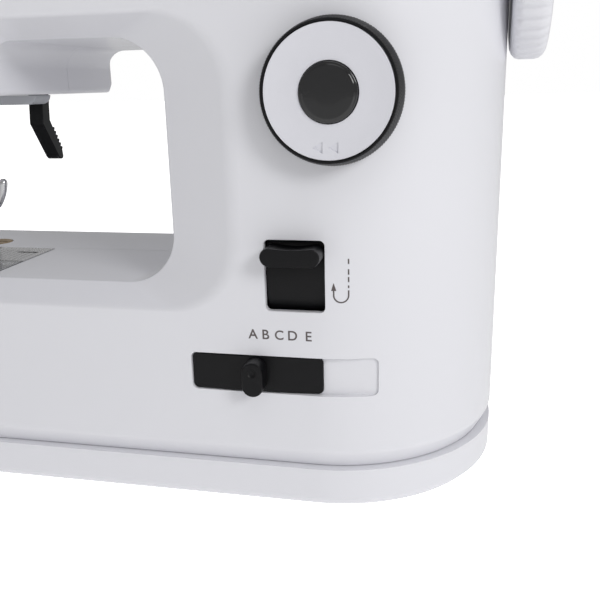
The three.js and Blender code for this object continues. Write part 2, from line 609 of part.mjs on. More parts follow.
const controls = assembly();
part(controls, 'dial_ring', dialRing(), 'black');
part(controls, 'dial_face', dialFace(), 'dialWhite');
part(controls, 'dial_hub', dialHub(), 'black');
part(controls, 'dial_shaft', rod('y', DIAL.x, DIAL.z, 3, FRONT - 2.1, -2), 'steel');
part(controls, 'cam_stack', camStack(), 'grey');
part(controls, 'reverse_lever', reverseLever(), 'black');
part(controls, 'group_slider', groupSlider(), 'black');
part(controls, 'slider_knob', sliderKnob(), 'black');
part(controls, 'tension_dial', join(turned([[0, FRONT - 8.4], [11, FRONT - 8.4], [12, FRONT - 7.4],
  [12, FRONT - GAP], [0, FRONT - GAP]], 'y', TENSION.x, TENSION.z, 24),
  rod('y', TENSION.x, TENSION.z, 3, FRONT - 1, -40)), 'white');
part(controls, 'power_switch', slab([[REAR - 8, SWITCH.z - 10], [REAR + 0.6, SWITCH.z - 10],
  [REAR - 0.6, SWITCH.z], [REAR + 0.6, SWITCH.z + 10], [REAR - 8, SWITCH.z + 10]],
  'x', SWITCH.x - 6, SWITCH.x + 6), 'black');
part(controls, 'spool_pin', turned([[0, 238], [BAR_R, 238], [BAR_R, 290], [2, 292], [0, 292]],
  'z', SPOOL.x, SPOOL.y, 14), 'white');
part(controls, 'winder_spindle', spindle(), 'white');

export default machine;
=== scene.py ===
"""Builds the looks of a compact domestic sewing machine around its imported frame.

Lengths in this file are millimetres in the machine's own frame, +Z up and the front towards -Y, and
become metres where a mesh is made. Settings in the sidebar hold the sizes and colours that a user
would change.
"""
import json
from functools import cache
from math import cos, pi, radians, sin, sqrt

import bmesh
import bpy
from bpy.props import FloatProperty, FloatVectorProperty, IntProperty, PointerProperty
from mathutils import Matrix, Vector


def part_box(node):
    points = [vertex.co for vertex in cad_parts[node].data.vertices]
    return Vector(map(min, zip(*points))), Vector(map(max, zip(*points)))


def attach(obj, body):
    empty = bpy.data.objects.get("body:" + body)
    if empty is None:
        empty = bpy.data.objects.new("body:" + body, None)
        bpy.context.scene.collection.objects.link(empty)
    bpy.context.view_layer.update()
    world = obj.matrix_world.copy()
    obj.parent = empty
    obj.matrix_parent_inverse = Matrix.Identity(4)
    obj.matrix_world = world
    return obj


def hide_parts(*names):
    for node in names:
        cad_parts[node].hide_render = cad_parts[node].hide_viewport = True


bl_info = {
    "name": "Compact sewing machine",
    "version": (1, 0, 0),
    "blender": (4, 5, 0),
    "location": "View3D > Sidebar > Sewing machine",
    "description": "Shells, controls and needle parts of a compact domestic sewing machine",
    "category": "Object",
}

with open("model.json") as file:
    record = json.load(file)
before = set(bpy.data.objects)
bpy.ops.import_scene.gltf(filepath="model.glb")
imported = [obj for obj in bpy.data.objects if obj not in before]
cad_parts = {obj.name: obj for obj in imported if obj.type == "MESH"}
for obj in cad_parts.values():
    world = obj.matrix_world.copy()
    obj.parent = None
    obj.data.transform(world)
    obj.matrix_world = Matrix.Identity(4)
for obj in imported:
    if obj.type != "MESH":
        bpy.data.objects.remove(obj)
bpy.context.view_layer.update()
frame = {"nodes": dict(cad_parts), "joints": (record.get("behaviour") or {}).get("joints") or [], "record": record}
MM = 0.001


def corners(node):
    """Lowest and highest corner of a frame node, in millimetres."""
    low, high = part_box(node)
    return Vector(low) / MM, Vector(high) / MM


def middle(node):
    low, high = corners(node)
    return (low + high) / 2


def extent(node):
    """Lowest corner, highest corner and middle of a frame node."""
    return (*corners(node), middle(node))


def pivot_of(joint):
    """Place of a joint, in millimetres."""
    row = next(j for j in frame["joints"] if j["name"] == joint)
    return [v / MM for v in row["pos_m"]]


COVER_LOW, COVER_HIGH = corners("front_cover")
REAR_LOW, REAR_HIGH = corners("rear_cover")
TRAY_LOW, TRAY_HIGH = corners("base_tray")
LEFT, RIGHT, FRONT, REAR = COVER_LOW.x, COVER_HIGH.x, COVER_LOW.y, REAR_HIGH.y
BODY_LOW, TOP = COVER_LOW.z, COVER_HIGH.z
SEAM = (COVER_HIGH.y + REAR_LOW.y) / 2
DIAL = middle("dial_ring")
SHAFT = middle("main_shaft")
SLIDER_TRAVEL = 21.1
CLEARANCE = 0.3
PRINT = 0.05
BODY_LEVELS = (60, 100, 140, 180, 210)
LETTER_PLACES = (39.75, 44.95, 50.35, 55.75, 62.15)
LETTER_FOOT, LETTER_HEIGHT = 74.9, 3.9
SCREW_PLACES = ((-128, 60), (60, 60), (-128, 232), (60, 228))
FLOOR_REACH = 9000
CAMERA_PLACE = Vector((121.25, -332.15, 171.1)) * MM
CAMERA_RIGHT = (0.9763, 0.2152, -0.0217)
CAMERA_AHEAD = (-0.2128, 0.9383, -0.2723)
CAMERA_LENS = 45.78


# Settings

def length(name, value, text, low=0.0):
    return FloatProperty(name=name, description=text + ", in millimetres", default=value, min=low)


def colour(name, value, text):
    return FloatVectorProperty(name=name, description=text, default=value, subtype="COLOR", min=0, max=1)


class HousingSettings(bpy.types.PropertyGroup):
    wall: length("Wall", 2.5, "Thickness of the moulded covers", 1.0)
    front_right: length("Front right corner", 70.5, "Radius of the front right corner seen from above")
    rear_right: length("Rear right corner", 52.0, "Radius of the rear right corner seen from above")
    left: length("Left corners", 18.0, "Radius of the two left corners seen from above")
    top_round: length("Top edge", 14.0, "Radius of the edge round the top")
    skirt: length("Skirt", 27.8, "Height at which the covers turn in towards the groove")
    groove: length("Groove", 4.0, "Depth of the groove between covers and tray")
    seam_gap: length("Seam gap", 0.3, "Gap between the front and rear covers")


class ThroatSettings(bpy.types.PropertyGroup):
    bed: length("Bed", 93.0, "Height of the bed")
    arm: length("Arm", 190.0, "Height of the underside of the arm")
    head_under: length("Head underside", 169.0, "Height of the underside of the head")
    head_right: length("Head right", -69, "Place of the head's right side along X", -500)
    pillar: length("Pillar", 4.25, "Left wall of the pillar")
    corner: length("Corner", 21.0, "Radius of the throat's corners")
    flare_down: length("Flare down", 7.8, "How far the flare drops at the front of the bed")
    flare_side: length("Flare side", 29.0, "How far the flare widens at the front of the pillar")
    flare_depth: length("Flare depth", 12.0, "Depth of the flare behind the front face")


class ControlSettings(bpy.types.PropertyGroup):
    knurls: IntProperty(name="Knurls", description="Ridges round the stitch dial", default=150, min=24)
    slider_radius: length("Slider radius", 340.0, "Radius of the arc that the group slider runs on")
    slider_axis: length("Slider axis", 35, "Place of the slider's axis along X", -500)
    wheel_ribs: IntProperty(name="Wheel ribs", description="Ribs round the handwheel", default=44, min=12)


class ColourSettings(bpy.types.PropertyGroup):
    white: colour("White", (0.79, 0.79, 0.83), "Covers and tray")
    dial_white: colour("Dial white", (0.74, 0.74, 0.79), "Face of the stitch dial")
    black: colour("Black", (0.004, 0.004, 0.005), "Levers, sliders and dial rim")
    grey: colour("Grey", (0.42, 0.43, 0.46), "Plate under the head and inner mouldings")
    print_ink: colour("Ink", (0.13, 0.11, 0.11), "Printed marks")
    steel: colour("Steel", (0.62, 0.62, 0.63), "Plated steel")
    cast: colour("Cast metal", (0.46, 0.46, 0.47), "Cast frame and cranks")
    brass: colour("Brass", (0.42, 0.30, 0.17), "Screws in the bed")
    rubber: colour("Rubber", (0.02, 0.02, 0.021), "Feet and belts")
    board: colour("Board", (0.02, 0.12, 0.06), "Circuit board")


SETTINGS = {
    "sewing_housing": HousingSettings,
    "sewing_throat": ThroatSettings,
    "sewing_controls": ControlSettings,
    "sewing_colours": ColourSettings,
}


def housing():
    return bpy.context.scene.sewing_housing


def throat_sizes():
    return bpy.context.scene.sewing_throat


def controls():
    return bpy.context.scene.sewing_controls


def colours():
    return bpy.context.scene.sewing_colours


# Outlines: lists of (u, v) pairs

def arc(cu, cv, radius, start, end, steps):
    points = []
    for i in range(steps + 1):
        angle = radians(start + (end - start) * i / steps)
        points.append((cu + radius * cos(angle), cv + radius * sin(angle)))
    return points


def eased(points, radius, steps=4, closed=False):
    """Rounds the corners of a chain of points with short quadratic curves."""
    result = []
    count = len(points)
    for i, point in enumerate(points):
        if not closed and i in (0, count - 1):
            result.append(point)
            continue
        here = Vector(point)
        before = Vector(points[i - 1]) - here
        after = Vector(points[(i + 1) % count]) - here
        reach = min(radius, before.length * 0.45, after.length * 0.45)
        start = here + before.normalized() * reach
        end = here + after.normalized() * reach
        for k in range(steps + 1):
            t = k / steps
            spot = start * (1 - t) ** 2 + here * 2 * t * (1 - t) + end * t ** 2
            result.append((spot.x, spot.y))
    return result


def capsule(u0, u1, v0, v1, radius, grow=0.0, step=3.0):
    """A rounded rectangle as a lower run from left to right, then an upper run back."""
    u0, u1, v0, v1, r = u0 - grow, u1 + grow, v0 - grow, v1 + grow, max(radius + grow, 0.05)
    pieces = max(1, round((u1 - u0 - 2 * r) / step))
    run = [u0 + r + (u1 - u0 - 2 * r) * i / pieces for i in range(1, pieces)]
    return [
        *arc(u0 + r, v0 + r, r, 180, 270, 6),
        *((u, v0) for u in run),
        *arc(u1 - r, v0 + r, r, 270, 360, 6),
        *arc(u1 - r, v1 - r, r, 0, 90, 6),
        *((u, v1) for u in reversed(run)),
        *arc(u0 + r, v1 - r, r, 90, 180, 6),
    ]


def plan(inset):
    """The housing seen from above, drawn in by an inset."""
    h = housing()
    a, b, c = h.front_right, h.rear_right, h.left
    runs = ((RIGHT - a, FRONT + a, a, -90, 40), (RIGHT - b, REAR - b, b, 0, 30),
            (LEFT + c, REAR - c, c, 90, 12), (LEFT + c, FRONT + c, c, 180, 12))
    points = []
    for cx, cy, radius, start, steps in runs:
        points += arc(cx, cy, max(radius - inset, 0.5), start, start + 90, steps)
    return points


def front_skin(x):
    """Y of the outer front face at x."""
    radius = housing().front_right
    beyond = max(0.0, x - (RIGHT - radius))
    return FRONT + radius - sqrt(radius ** 2 - beyond ** 2)


def throat(flare, grow):
    """The throat seen from the front: flare 0 is its inner outline, 1 the edge at the front face."""
    t = throat_sizes()
    bed = t.bed - t.flare_down * flare - grow
    pillar = t.pillar + t.flare_side * flare + grow
    curve = t.corner + 7.5 * flare + grow
    arm = t.arm + t.flare_down * flare + grow
    head = t.head_right - t.flare_down * flare - grow
    under = t.head_under + t.flare_down * flare + grow
    head_curve = 10 + grow
    outside = LEFT - 20
    steps = 18
    return [
        (outside, bed),
        *arc(pillar - curve, bed + curve, curve, -90, 0, steps),
        *arc(pillar - curve, arm - curve, curve, 0, 90, steps),
        *arc(head + head_curve, arm - head_curve, head_curve, 90, 180, 10),
        *arc(head - 2, under + 2, 2, 0, -90, 4),
        (outside, under),
    ]


# Meshes

def add_object(name, data):
    item = bpy.data.objects.new(name, data)
    bpy.context.scene.collection.objects.link(item)
    return item


def to_world(u, v, place, axis):
    if axis == "x":
        return (place, u, v)
    if axis == "y":
        return (u, place, v)
    return (u, v, place)


def make(name, points, faces):
    """A mesh object from millimetre points, with its faces turned outwards."""
    mesh = bpy.data.meshes.new(name)
    mesh.from_pydata([tuple(MM * c for c in p) for p in points], [], faces)
    piece = add_object(name, mesh)
    work = bmesh.new()
    work.from_mesh(mesh)
    bmesh.ops.remove_doubles(work, verts=work.verts, dist=1e-6)
    bmesh.ops.recalc_face_normals(work, faces=work.faces)
    if work.calc_volume(signed=True) < 0:
        bmesh.ops.reverse_faces(work, faces=work.faces)
    work.to_mesh(mesh)
    work.free()
    return piece


def loft(name, outlines, place, axis, paired=False):
    """Joins outlines of equal length into a closed solid. place(k, u, v) is the third coordinate."""
    count = len(outlines[0])
    points = [to_world(u, v, place(k, u, v), axis) for k, line in enumerate(outlines) for u, v in line]
    faces = []
    for k in range(len(outlines) - 1):
        for i in range(count):
            j = (i + 1) % count
            faces.append((k * count + i, k * count + j, (k + 1) * count + j, (k + 1) * count + i))
    for k in (0, len(outlines) - 1):
        if paired:
            faces += [tuple(k * count + n for n in (i, i + 1, count - 2 - i, count - 1 - i))
                      for i in range(count // 2 - 1)]
        else:
            faces.append(tuple(range(k * count, (k + 1) * count)))
    return make(name, points, faces)


def stack(name, outlines, places, axis):
    return loft(name, outlines, lambda k, u, v: places[k], axis)


def prism(name, outline, axis, low, high):
    return stack(name, [outline, outline], [low, high], axis)


def block(name, x0, x1, y0, y1, z0, z1):
    return prism(name, [(x0, y0), (x1, y0), (x1, y1), (x0, y1)], "z", z0, z1)


def turned(name, profile, axis, a, b, sides=64, ripple=None):
    """Turns a profile of (radius, height) pairs. A profile off the axis closes on itself into a ring.

    ripple(angle, radius, height) adds to the radius.
    """
    ring = profile[0][0] > 1e-6
    points, rows = [], []
    for radius, height in profile:
        if radius < 1e-6:
            rows.append([len(points)])
            points.append(axis_point(0, 0, height, axis, a, b))
            continue
        rows.append(list(range(len(points), len(points) + sides)))
        for i in range(sides):
            angle = 2 * pi * i / sides
            r = radius + (ripple(angle, radius, height) if ripple else 0)
            points.append(axis_point(r * cos(angle), r * sin(angle), height, axis, a, b))
    pairs = list(zip(rows, rows[1:])) + ([(rows[-1], rows[0])] if ring else [])
    faces = []
    for lower, upper in pairs:
        for i in range(sides):
            j = (i + 1) % sides
            quad = [row[k % len(row)] for row, k in ((lower, i), (lower, j), (upper, j), (upper, i))]
            face = tuple(dict.fromkeys(quad))
            if len(face) > 2:
                faces.append(face)
    return make(name, points, faces)


def axis_point(u, v, height, axis, a, b):
    if axis == "x":
        return (height, a + u, b + v)
    if axis == "y":
        return (a + u, height, b + v)
    return (a + u, b + v, height)


def rod(name, radius, low, high, axis, a, b, sides=40):
    """A round bar or bore with square ends."""
    return turned(name, [(0, low), (radius, low), (radius, high), (0, high)], axis, a, b, sides)


def rod_profile(radius, low, high, edge=0.3):
    """Profile of a rod with chamfered ends."""
    return [(0, low), (radius - edge, low), (radius, low + edge),
            (radius, high - edge), (radius - edge, high), (0, high)]


def headings(spots):
    """Each spot of a path with the direction in which the path passes it."""
    last = len(spots) - 1
    return [(spot, (spots[min(i + 1, last)] - spots[max(i - 1, 0)]).normalized())
            for i, spot in enumerate(spots)]


def rings(name, points, sides):
    """Closes rings of points, each of the same number of sides, into a solid."""
    last = len(points) // sides - 1
    faces = []
    for i in range(last):
        for k in range(sides):
            n = (k + 1) % sides
            faces.append((i * sides + k, i * sides + n, (i + 1) * sides + n, (i + 1) * sides + k))
    faces += [tuple(range(sides)), tuple(last * sides + k for k in range(sides))]
    return make(name, points, faces)


def tube_along(name, path, radius, sides, taper):
    """A round bar along a path. taper(share of the path) scales its radius."""
    points = []
    side = Vector((0.31, 0.77, 0.55))
    for i, (spot, heading) in enumerate(headings(path)):
        side = side - heading * side.dot(heading)
        side.normalize()
        across = heading.cross(side)
        r = radius * taper(i / (len(path) - 1))
        for k in range(sides):
            angle = 2 * pi * k / sides
            points.append(spot + side * r * cos(angle) + across * r * sin(angle))
    return rings(name, points, sides)


def settle(piece):
    """Applies the piece's modifiers."""
    graph = bpy.context.evaluated_depsgraph_get()
    mesh = bpy.data.meshes.new_from_object(piece.evaluated_get(graph))
    piece.modifiers.clear()
    piece.data = mesh
    return piece


def combine(piece, others, operation):
    for other in others:
        step = piece.modifiers.new("combine", "BOOLEAN")
        step.operation = operation
        step.solver = "MANIFOLD"
        step.object = other
    settle(piece)
    for other in others:
        bpy.data.objects.remove(other)
    return piece


def carve(piece, *others):
    return combine(piece, others, "DIFFERENCE")


def fuse(piece, *others):
    return combine(piece, others, "UNION")


def meet(piece, other):
    return combine(piece, [other], "INTERSECT")


def soften(piece, width, segments=3, angle=30):
    """Rounds every edge sharper than an angle."""
    step = piece.modifiers.new("soften", "BEVEL")
    step.width = width * MM
    step.segments = segments
    step.limit_method = "ANGLE"
    step.angle_limit = radians(angle)
    return settle(piece)


def round_edges(piece, chosen, width, segments=3):
    """Rounds the edges that chosen(edge, middle in millimetres) picks."""
    work = bmesh.new()
    work.from_mesh(piece.data)
    edges = [e for e in work.edges if len(e.link_faces) == 2
             and chosen(e, (e.verts[0].co + e.verts[1].co) / (2 * MM))]
    bmesh.ops.bevel(work, geom=edges, offset=width * MM, segments=segments, profile=0.5,
                    affect="EDGES", clamp_overlap=True)
    work.to_mesh(piece.data)
    work.free()


def join_meshes(name, pieces):
    """One object that holds the meshes of several pieces."""
    work = bmesh.new()
    for piece in pieces:
        work.from_mesh(piece.data)
        bpy.data.objects.remove(piece)
    mesh = bpy.data.meshes.new(name)
    work.to_mesh(mesh)
    work.free()
    return add_object(name, mesh)


def place_piece(piece, body, material, instead_of=(), crease=32):
    """Shades a finished piece, gives it its material and hangs it on its body."""
    mesh = piece.data
    mesh.polygons.foreach_set("use_smooth", [True] * len(mesh.polygons))
    mesh.set_sharp_from_angle(angle=radians(crease))
    weigh = piece.modifiers.new("weigh normals", "WEIGHTED_NORMAL")
    weigh.keep_sharp = True
    mesh.materials.clear()
    mesh.materials.append(material)
    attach(piece, body)
    if instead_of:
        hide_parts(*instead_of)


def stand_for(piece, node, material, crease=32):
    """The piece replaces one frame node: it rides on that node's body, and the node is hidden."""
    record = frame["record"]
    body = next(b for b, members in record["behaviour"]["bodies"].items() if node in members)
    place_piece(piece, body, material, (node,), crease)


# Materials

def finish_group(name, inputs):
    """A node group that turns its named inputs into Colour, Roughness and Normal."""
    group = bpy.data.node_groups.new(name, "ShaderNodeTree")
    for label, default in inputs.items():
        kind = "NodeSocketColor" if isinstance(default, tuple) else "NodeSocketFloat"
        socket = group.interface.new_socket(label, in_out="INPUT", socket_type=kind)
        socket.default_value = default
    for label, kind in (("Colour", "Color"), ("Roughness", "Float"), ("Normal", "Vector")):
        group.interface.new_socket(label, in_out="OUTPUT", socket_type="NodeSocket" + kind)
    return group, group.nodes.new("NodeGroupInput").outputs, group.nodes.new("NodeGroupOutput").inputs


def feed(tree, socket, value):
    """Links a socket to another node's output, or sets it to a plain value."""
    if isinstance(value, bpy.types.NodeSocket):
        tree.links.new(value, socket)
    else:
        socket.default_value = value


def math_node(tree, operation, a, b):
    node = tree.nodes.new("ShaderNodeMath")
    node.operation = operation
    feed(tree, node.inputs[0], a)
    feed(tree, node.inputs[1], b)
    return node.outputs[0]


def noise(tree, vector, scale, detail=3.0, roughness=0.5):
    node = tree.nodes.new("ShaderNodeTexNoise")
    for key, value in (("Vector", vector), ("Scale", scale), ("Detail", detail), ("Roughness", roughness)):
        feed(tree, node.inputs[key], value)
    return node.outputs["Fac"]


def remap(tree, value, low, high, to_low, to_high):
    node = tree.nodes.new("ShaderNodeMapRange")
    for key, setting in zip(("Value", "From Min", "From Max", "To Min", "To Max"),
                            (value, low, high, to_low, to_high)):
        feed(tree, node.inputs[key], setting)
    return node.outputs["Result"]


def mix_colour(tree, mask, first, second, blend="MIX"):
    node = tree.nodes.new("ShaderNodeMix")
    node.data_type = "RGBA"
    node.blend_type = blend
    feed(tree, node.inputs["Factor"], mask)
    for key, value in (("A", first), ("B", second)):
        feed(tree, next(s for s in node.inputs if s.name == key and s.type == "RGBA"), value)
    return next(s for s in node.outputs if s.type == "RGBA")


def bumped(tree, strength, height, distance):
    node = tree.nodes.new("ShaderNodeBump")
    for key, value in (("Strength", strength), ("Height", height), ("Distance", distance)):
        feed(tree, node.inputs[key], value)
    return node.outputs["Normal"]


def moulded_skin_group():
    """Moulded plastic: faint mottling, polish that varies, spark-erosion grain and handling dust."""
    group, given, out = finish_group("Moulded skin", {
        "Colour": (0.8, 0.8, 0.8, 1), "Mottle": 0.02, "Roughness": 0.35, "Polish change": 0.06,
        "Grain scale": 2600.0, "Grain height": 0.05, "Dust": 0.1})
    where = group.nodes.new("ShaderNodeTexCoord").outputs["Object"]
    broad = noise(group, where, 14.0, 4)
    fine = noise(group, where, given["Grain scale"], 2)
    specks = remap(group, noise(group, where, 900.0, 1), 0.70, 0.78, 0, 1)
    tint = group.nodes.new("ShaderNodeVectorMath")
    tint.operation = "SCALE"
    feed(group, tint.inputs[0], given["Colour"])
    shade = remap(group, broad, 0.3, 0.7, math_node(group, "SUBTRACT", 1, given["Mottle"]), 1)
    feed(group, tint.inputs["Scale"], shade)
    up = group.nodes.new("ShaderNodeSeparateXYZ")
    feed(group, up.inputs[0], group.nodes.new("ShaderNodeNewGeometry").outputs["Normal"])
    facing_up = remap(group, up.outputs["Z"], 0.2, 1.0, 0.15, 1.0)
    dust = math_node(group, "MULTIPLY", math_node(group, "MULTIPLY", specks, facing_up), given["Dust"])
    feed(group, out["Colour"], mix_colour(group, dust, tint.outputs[0], (0.42, 0.41, 0.40, 1)))
    swing = math_node(group, "MULTIPLY", math_node(group, "SUBTRACT", broad, 0.5), given["Polish change"])
    smudge = math_node(group, "MULTIPLY", noise(group, where, 60.0, 5, 0.65), given["Polish change"])
    rough = math_node(group, "ADD", math_node(group, "ADD", given["Roughness"], swing), smudge)
    feed(group, out["Roughness"], rough)
    feed(group, out["Normal"], bumped(group, given["Grain height"], fine, 0.0002))
    return group


def worked_metal_group():
    """Plated or cast metal: fine scratches along one direction, cloudy polish and a little tarnish."""
    group, given, out = finish_group("Worked metal", {
        "Colour": (0.6, 0.6, 0.6, 1), "Tarnish": 0.25, "Roughness": 0.25, "Scratch scale": 900.0,
        "Scratch height": 0.1})
    where = group.nodes.new("ShaderNodeTexCoord").outputs["Object"]
    stretch = group.nodes.new("ShaderNodeMapping")
    stretch.inputs["Scale"].default_value = (1.0, 1.0, 0.06)
    feed(group, stretch.inputs["Vector"], where)
    scratches = noise(group, stretch.outputs[0], given["Scratch scale"], 4, 0.6)
    clouds = noise(group, where, 55.0, 5)
    mask = math_node(group, "MULTIPLY", remap(group, clouds, 0.45, 0.75, 0, 1), given["Tarnish"])
    dull = mix_colour(group, 1.0, given["Colour"], (0.62, 0.58, 0.52, 1), "MULTIPLY")
    feed(group, out["Colour"], mix_colour(group, mask, given["Colour"], dull))
    rough = math_node(group, "ADD", given["Roughness"], remap(group, scratches, 0.3, 0.7, -0.05, 0.10))
    feed(group, out["Roughness"], math_node(group, "ADD", rough, math_node(group, "MULTIPLY", mask, 0.3)))
    feed(group, out["Normal"], bumped(group, given["Scratch height"], scratches, 0.0001))
    return group


def finish_with(group, name, tint, values, fixed):
    """A material whose Principled shader takes its varying inputs from a group and the rest fixed."""
    material = bpy.data.materials.new(name)
    material.use_nodes = True
    tree = material.node_tree
    shader = tree.nodes["Principled BSDF"]
    skin = tree.nodes.new("ShaderNodeGroup")
    skin.node_tree = group
    skin.inputs["Colour"].default_value = (*tint, 1)
    for key, value in values.items():
        skin.inputs[key].default_value = value
    for key, socket in (("Colour", "Base Color"), ("Roughness", "Roughness"), ("Normal", "Normal")):
        feed(tree, shader.inputs[socket], skin.outputs[key])
    for key, value in fixed.items():
        shader.inputs[key].default_value = value
    return material


class Finishes:
    """Every material of the machine, made once."""

    def __init__(self):
        c = colours()
        skin, metal = moulded_skin_group(), worked_metal_group()
        plastic = {"IOR": 1.5}
        self.white = finish_with(
            skin, "Cover plastic", c.white,
            {"Roughness": 0.26, "Dust": 0.0, "Mottle": 0.004, "Polish change": 0.012},
            {"IOR": 1.5, "Coat Weight": 0.15, "Coat Roughness": 0.12})
        self.fitting = finish_with(
            skin, "Fitting plastic", c.white,
            {"Roughness": 0.36, "Dust": 0.0, "Polish change": 0.02}, plastic)
        self.dial_white = finish_with(
            skin, "Dial face plastic", c.dial_white, {"Roughness": 0.38, "Grain height": 0.12}, plastic)
        self.black = finish_with(
            skin, "Control plastic", c.black,
            {"Roughness": 0.34, "Mottle": 0.15, "Dust": 0.04, "Grain height": 0.12, "Polish change": 0.1},
            {"IOR": 1.5, "Specular IOR Level": 0.22})
        self.gloss_black = finish_with(
            skin, "Hub plastic", c.black,
            {"Roughness": 0.06, "Mottle": 0.1, "Polish change": 0.03, "Grain height": 0.01},
            {"IOR": 1.5, "Coat Weight": 0.6, "Coat Roughness": 0.04})
        self.grey = finish_with(
            skin, "Grey plastic", c.grey, {"Roughness": 0.45, "Grain height": 0.2}, {"IOR": 1.48})
        self.ink = finish_with(
            skin, "Printed ink", c.print_ink, {"Roughness": 0.5, "Mottle": 0.2}, {"IOR": 1.45})
        self.rubber = finish_with(
            skin, "Foot rubber", c.rubber,
            {"Roughness": 0.75, "Grain height": 0.5, "Mottle": 0.3, "Dust": 0.5}, plastic)
        self.steel = finish_with(metal, "Plated steel", c.steel, {"Roughness": 0.2}, {"Metallic": 1.0})
        self.wire = finish_with(
            metal, "Spring wire", c.cast, {"Roughness": 0.32, "Tarnish": 0.5}, {"Metallic": 1.0})
        self.cast = finish_with(
            metal, "Cast metal", c.cast,
            {"Roughness": 0.5, "Tarnish": 0.4, "Scratch scale": 500.0, "Scratch height": 0.4},
            {"Metallic": 0.9})
        self.brass = finish_with(
            metal, "Brass", c.brass, {"Roughness": 0.35, "Tarnish": 0.6}, {"Metallic": 1.0})
        self.board = finish_with(skin, "Circuit board", c.board, {"Roughness": 0.4, "Mottle": 0.3}, plastic)
        self.clear = finish_with(
            skin, "Clear plastic", (0.93, 0.95, 0.97), {"Roughness": 0.06, "Grain height": 0.01},
            {"IOR": 1.49, "Transmission Weight": 0.92, "Alpha": 1.0})

    def by_slot(self):
        return {
            "white_housing": self.white, "white_fittings": self.fitting, "black_plastic": self.black,
            "gloss_black": self.gloss_black, "dial_white": self.dial_white, "grey_plastic": self.grey,
            "foot_rubber": self.rubber, "belt_rubber": self.rubber, "polished_steel": self.steel,
            "spring_steel": self.wire, "cast_metal": self.cast, "clear_plastic": self.clear,
            "brass_screw": self.brass, "circuit_green": self.board,
        }


@cache
def finishes():
    return Finishes()


# Pieces

class Build:
    """What the operators share."""
    bl_options = {"REGISTER", "UNDO"}


def body_form(name, inset):
    """The whole housing as one solid, drawn in by an inset."""
    h = housing()
    drop = 2 if inset else 0
    curve = h.top_round - inset
    rise = [(inset + curve * (1 - cos(radians(a))), TOP - h.top_round + curve * sin(radians(a)))
            for a in range(0, 91, 9)]
    lower = [(h.groove + inset * 1.3 + drop / 2, BODY_LOW - drop), (inset, h.skirt), (inset, h.skirt + 12)]
    profile = eased(lower, 1.6, 4)[:-1] + [(inset, z) for z in BODY_LEVELS] + rise
    form = stack(name, [plan(i) for i, z in profile], [z for i, z in profile], "z")
    return carve(form, throat_form(inset))


def throat_form(grow):
    t = throat_sizes()
    back_share, back_depth, past = 0.35, 8.0, 4.0
    steps = [k / 5 for k in range(6)]
    lip = [(0.88 + 0.24 * s, t.flare_depth * 0.12 * (1 - s) ** 2) for s in steps]
    root = [(0.06 * (1 - s) ** 2, t.flare_depth - 0.72 * (1 - s) + 0.5 * s ** 2) for s in steps]
    flares = [1.12] + [f for f, d in reversed(lip)] + [f for f, d in root]
    places = [FRONT - past] + [FRONT + d for f, d in reversed(lip)] + [FRONT + d for f, d in root]
    flares += [0, back_share, back_share * (1 + past / back_depth)]
    places += [REAR - back_depth, REAR, REAR + past]
    return stack("throat", [throat(f, grow) for f in flares], [p + grow * 0.4 for p in places], "y")


def slider_solid(name, sinks, u0, u1, v0, v1, radius, grows):
    """A rounded plate whose levels lie on arcs about the slider's axis, each level sunk by its own depth."""
    c = controls()
    centre = FRONT + c.slider_radius

    def on_arc(k, u, v):
        return centre - sqrt((c.slider_radius - sinks[k]) ** 2 - (u - c.slider_axis) ** 2)

    return loft(name, [capsule(u0, u1, v0, v1, radius, g) for g in grows], on_arc, "y", paired=True)


def lever_window(lip=0.35):
    """Cutter for the lever's opening, which widens into a rounded rim at the front."""
    outlines = [capsule(45.25, 68.75, 86.6, 114.6, 2, g) for g in (lip * 2.2, lip * 1.3, lip * 0.45, 0, 0)]
    depths = (-3, -2, lip * 0.3, lip, 5)
    return stack("lever_window", outlines, [FRONT + d for d in depths], "y")


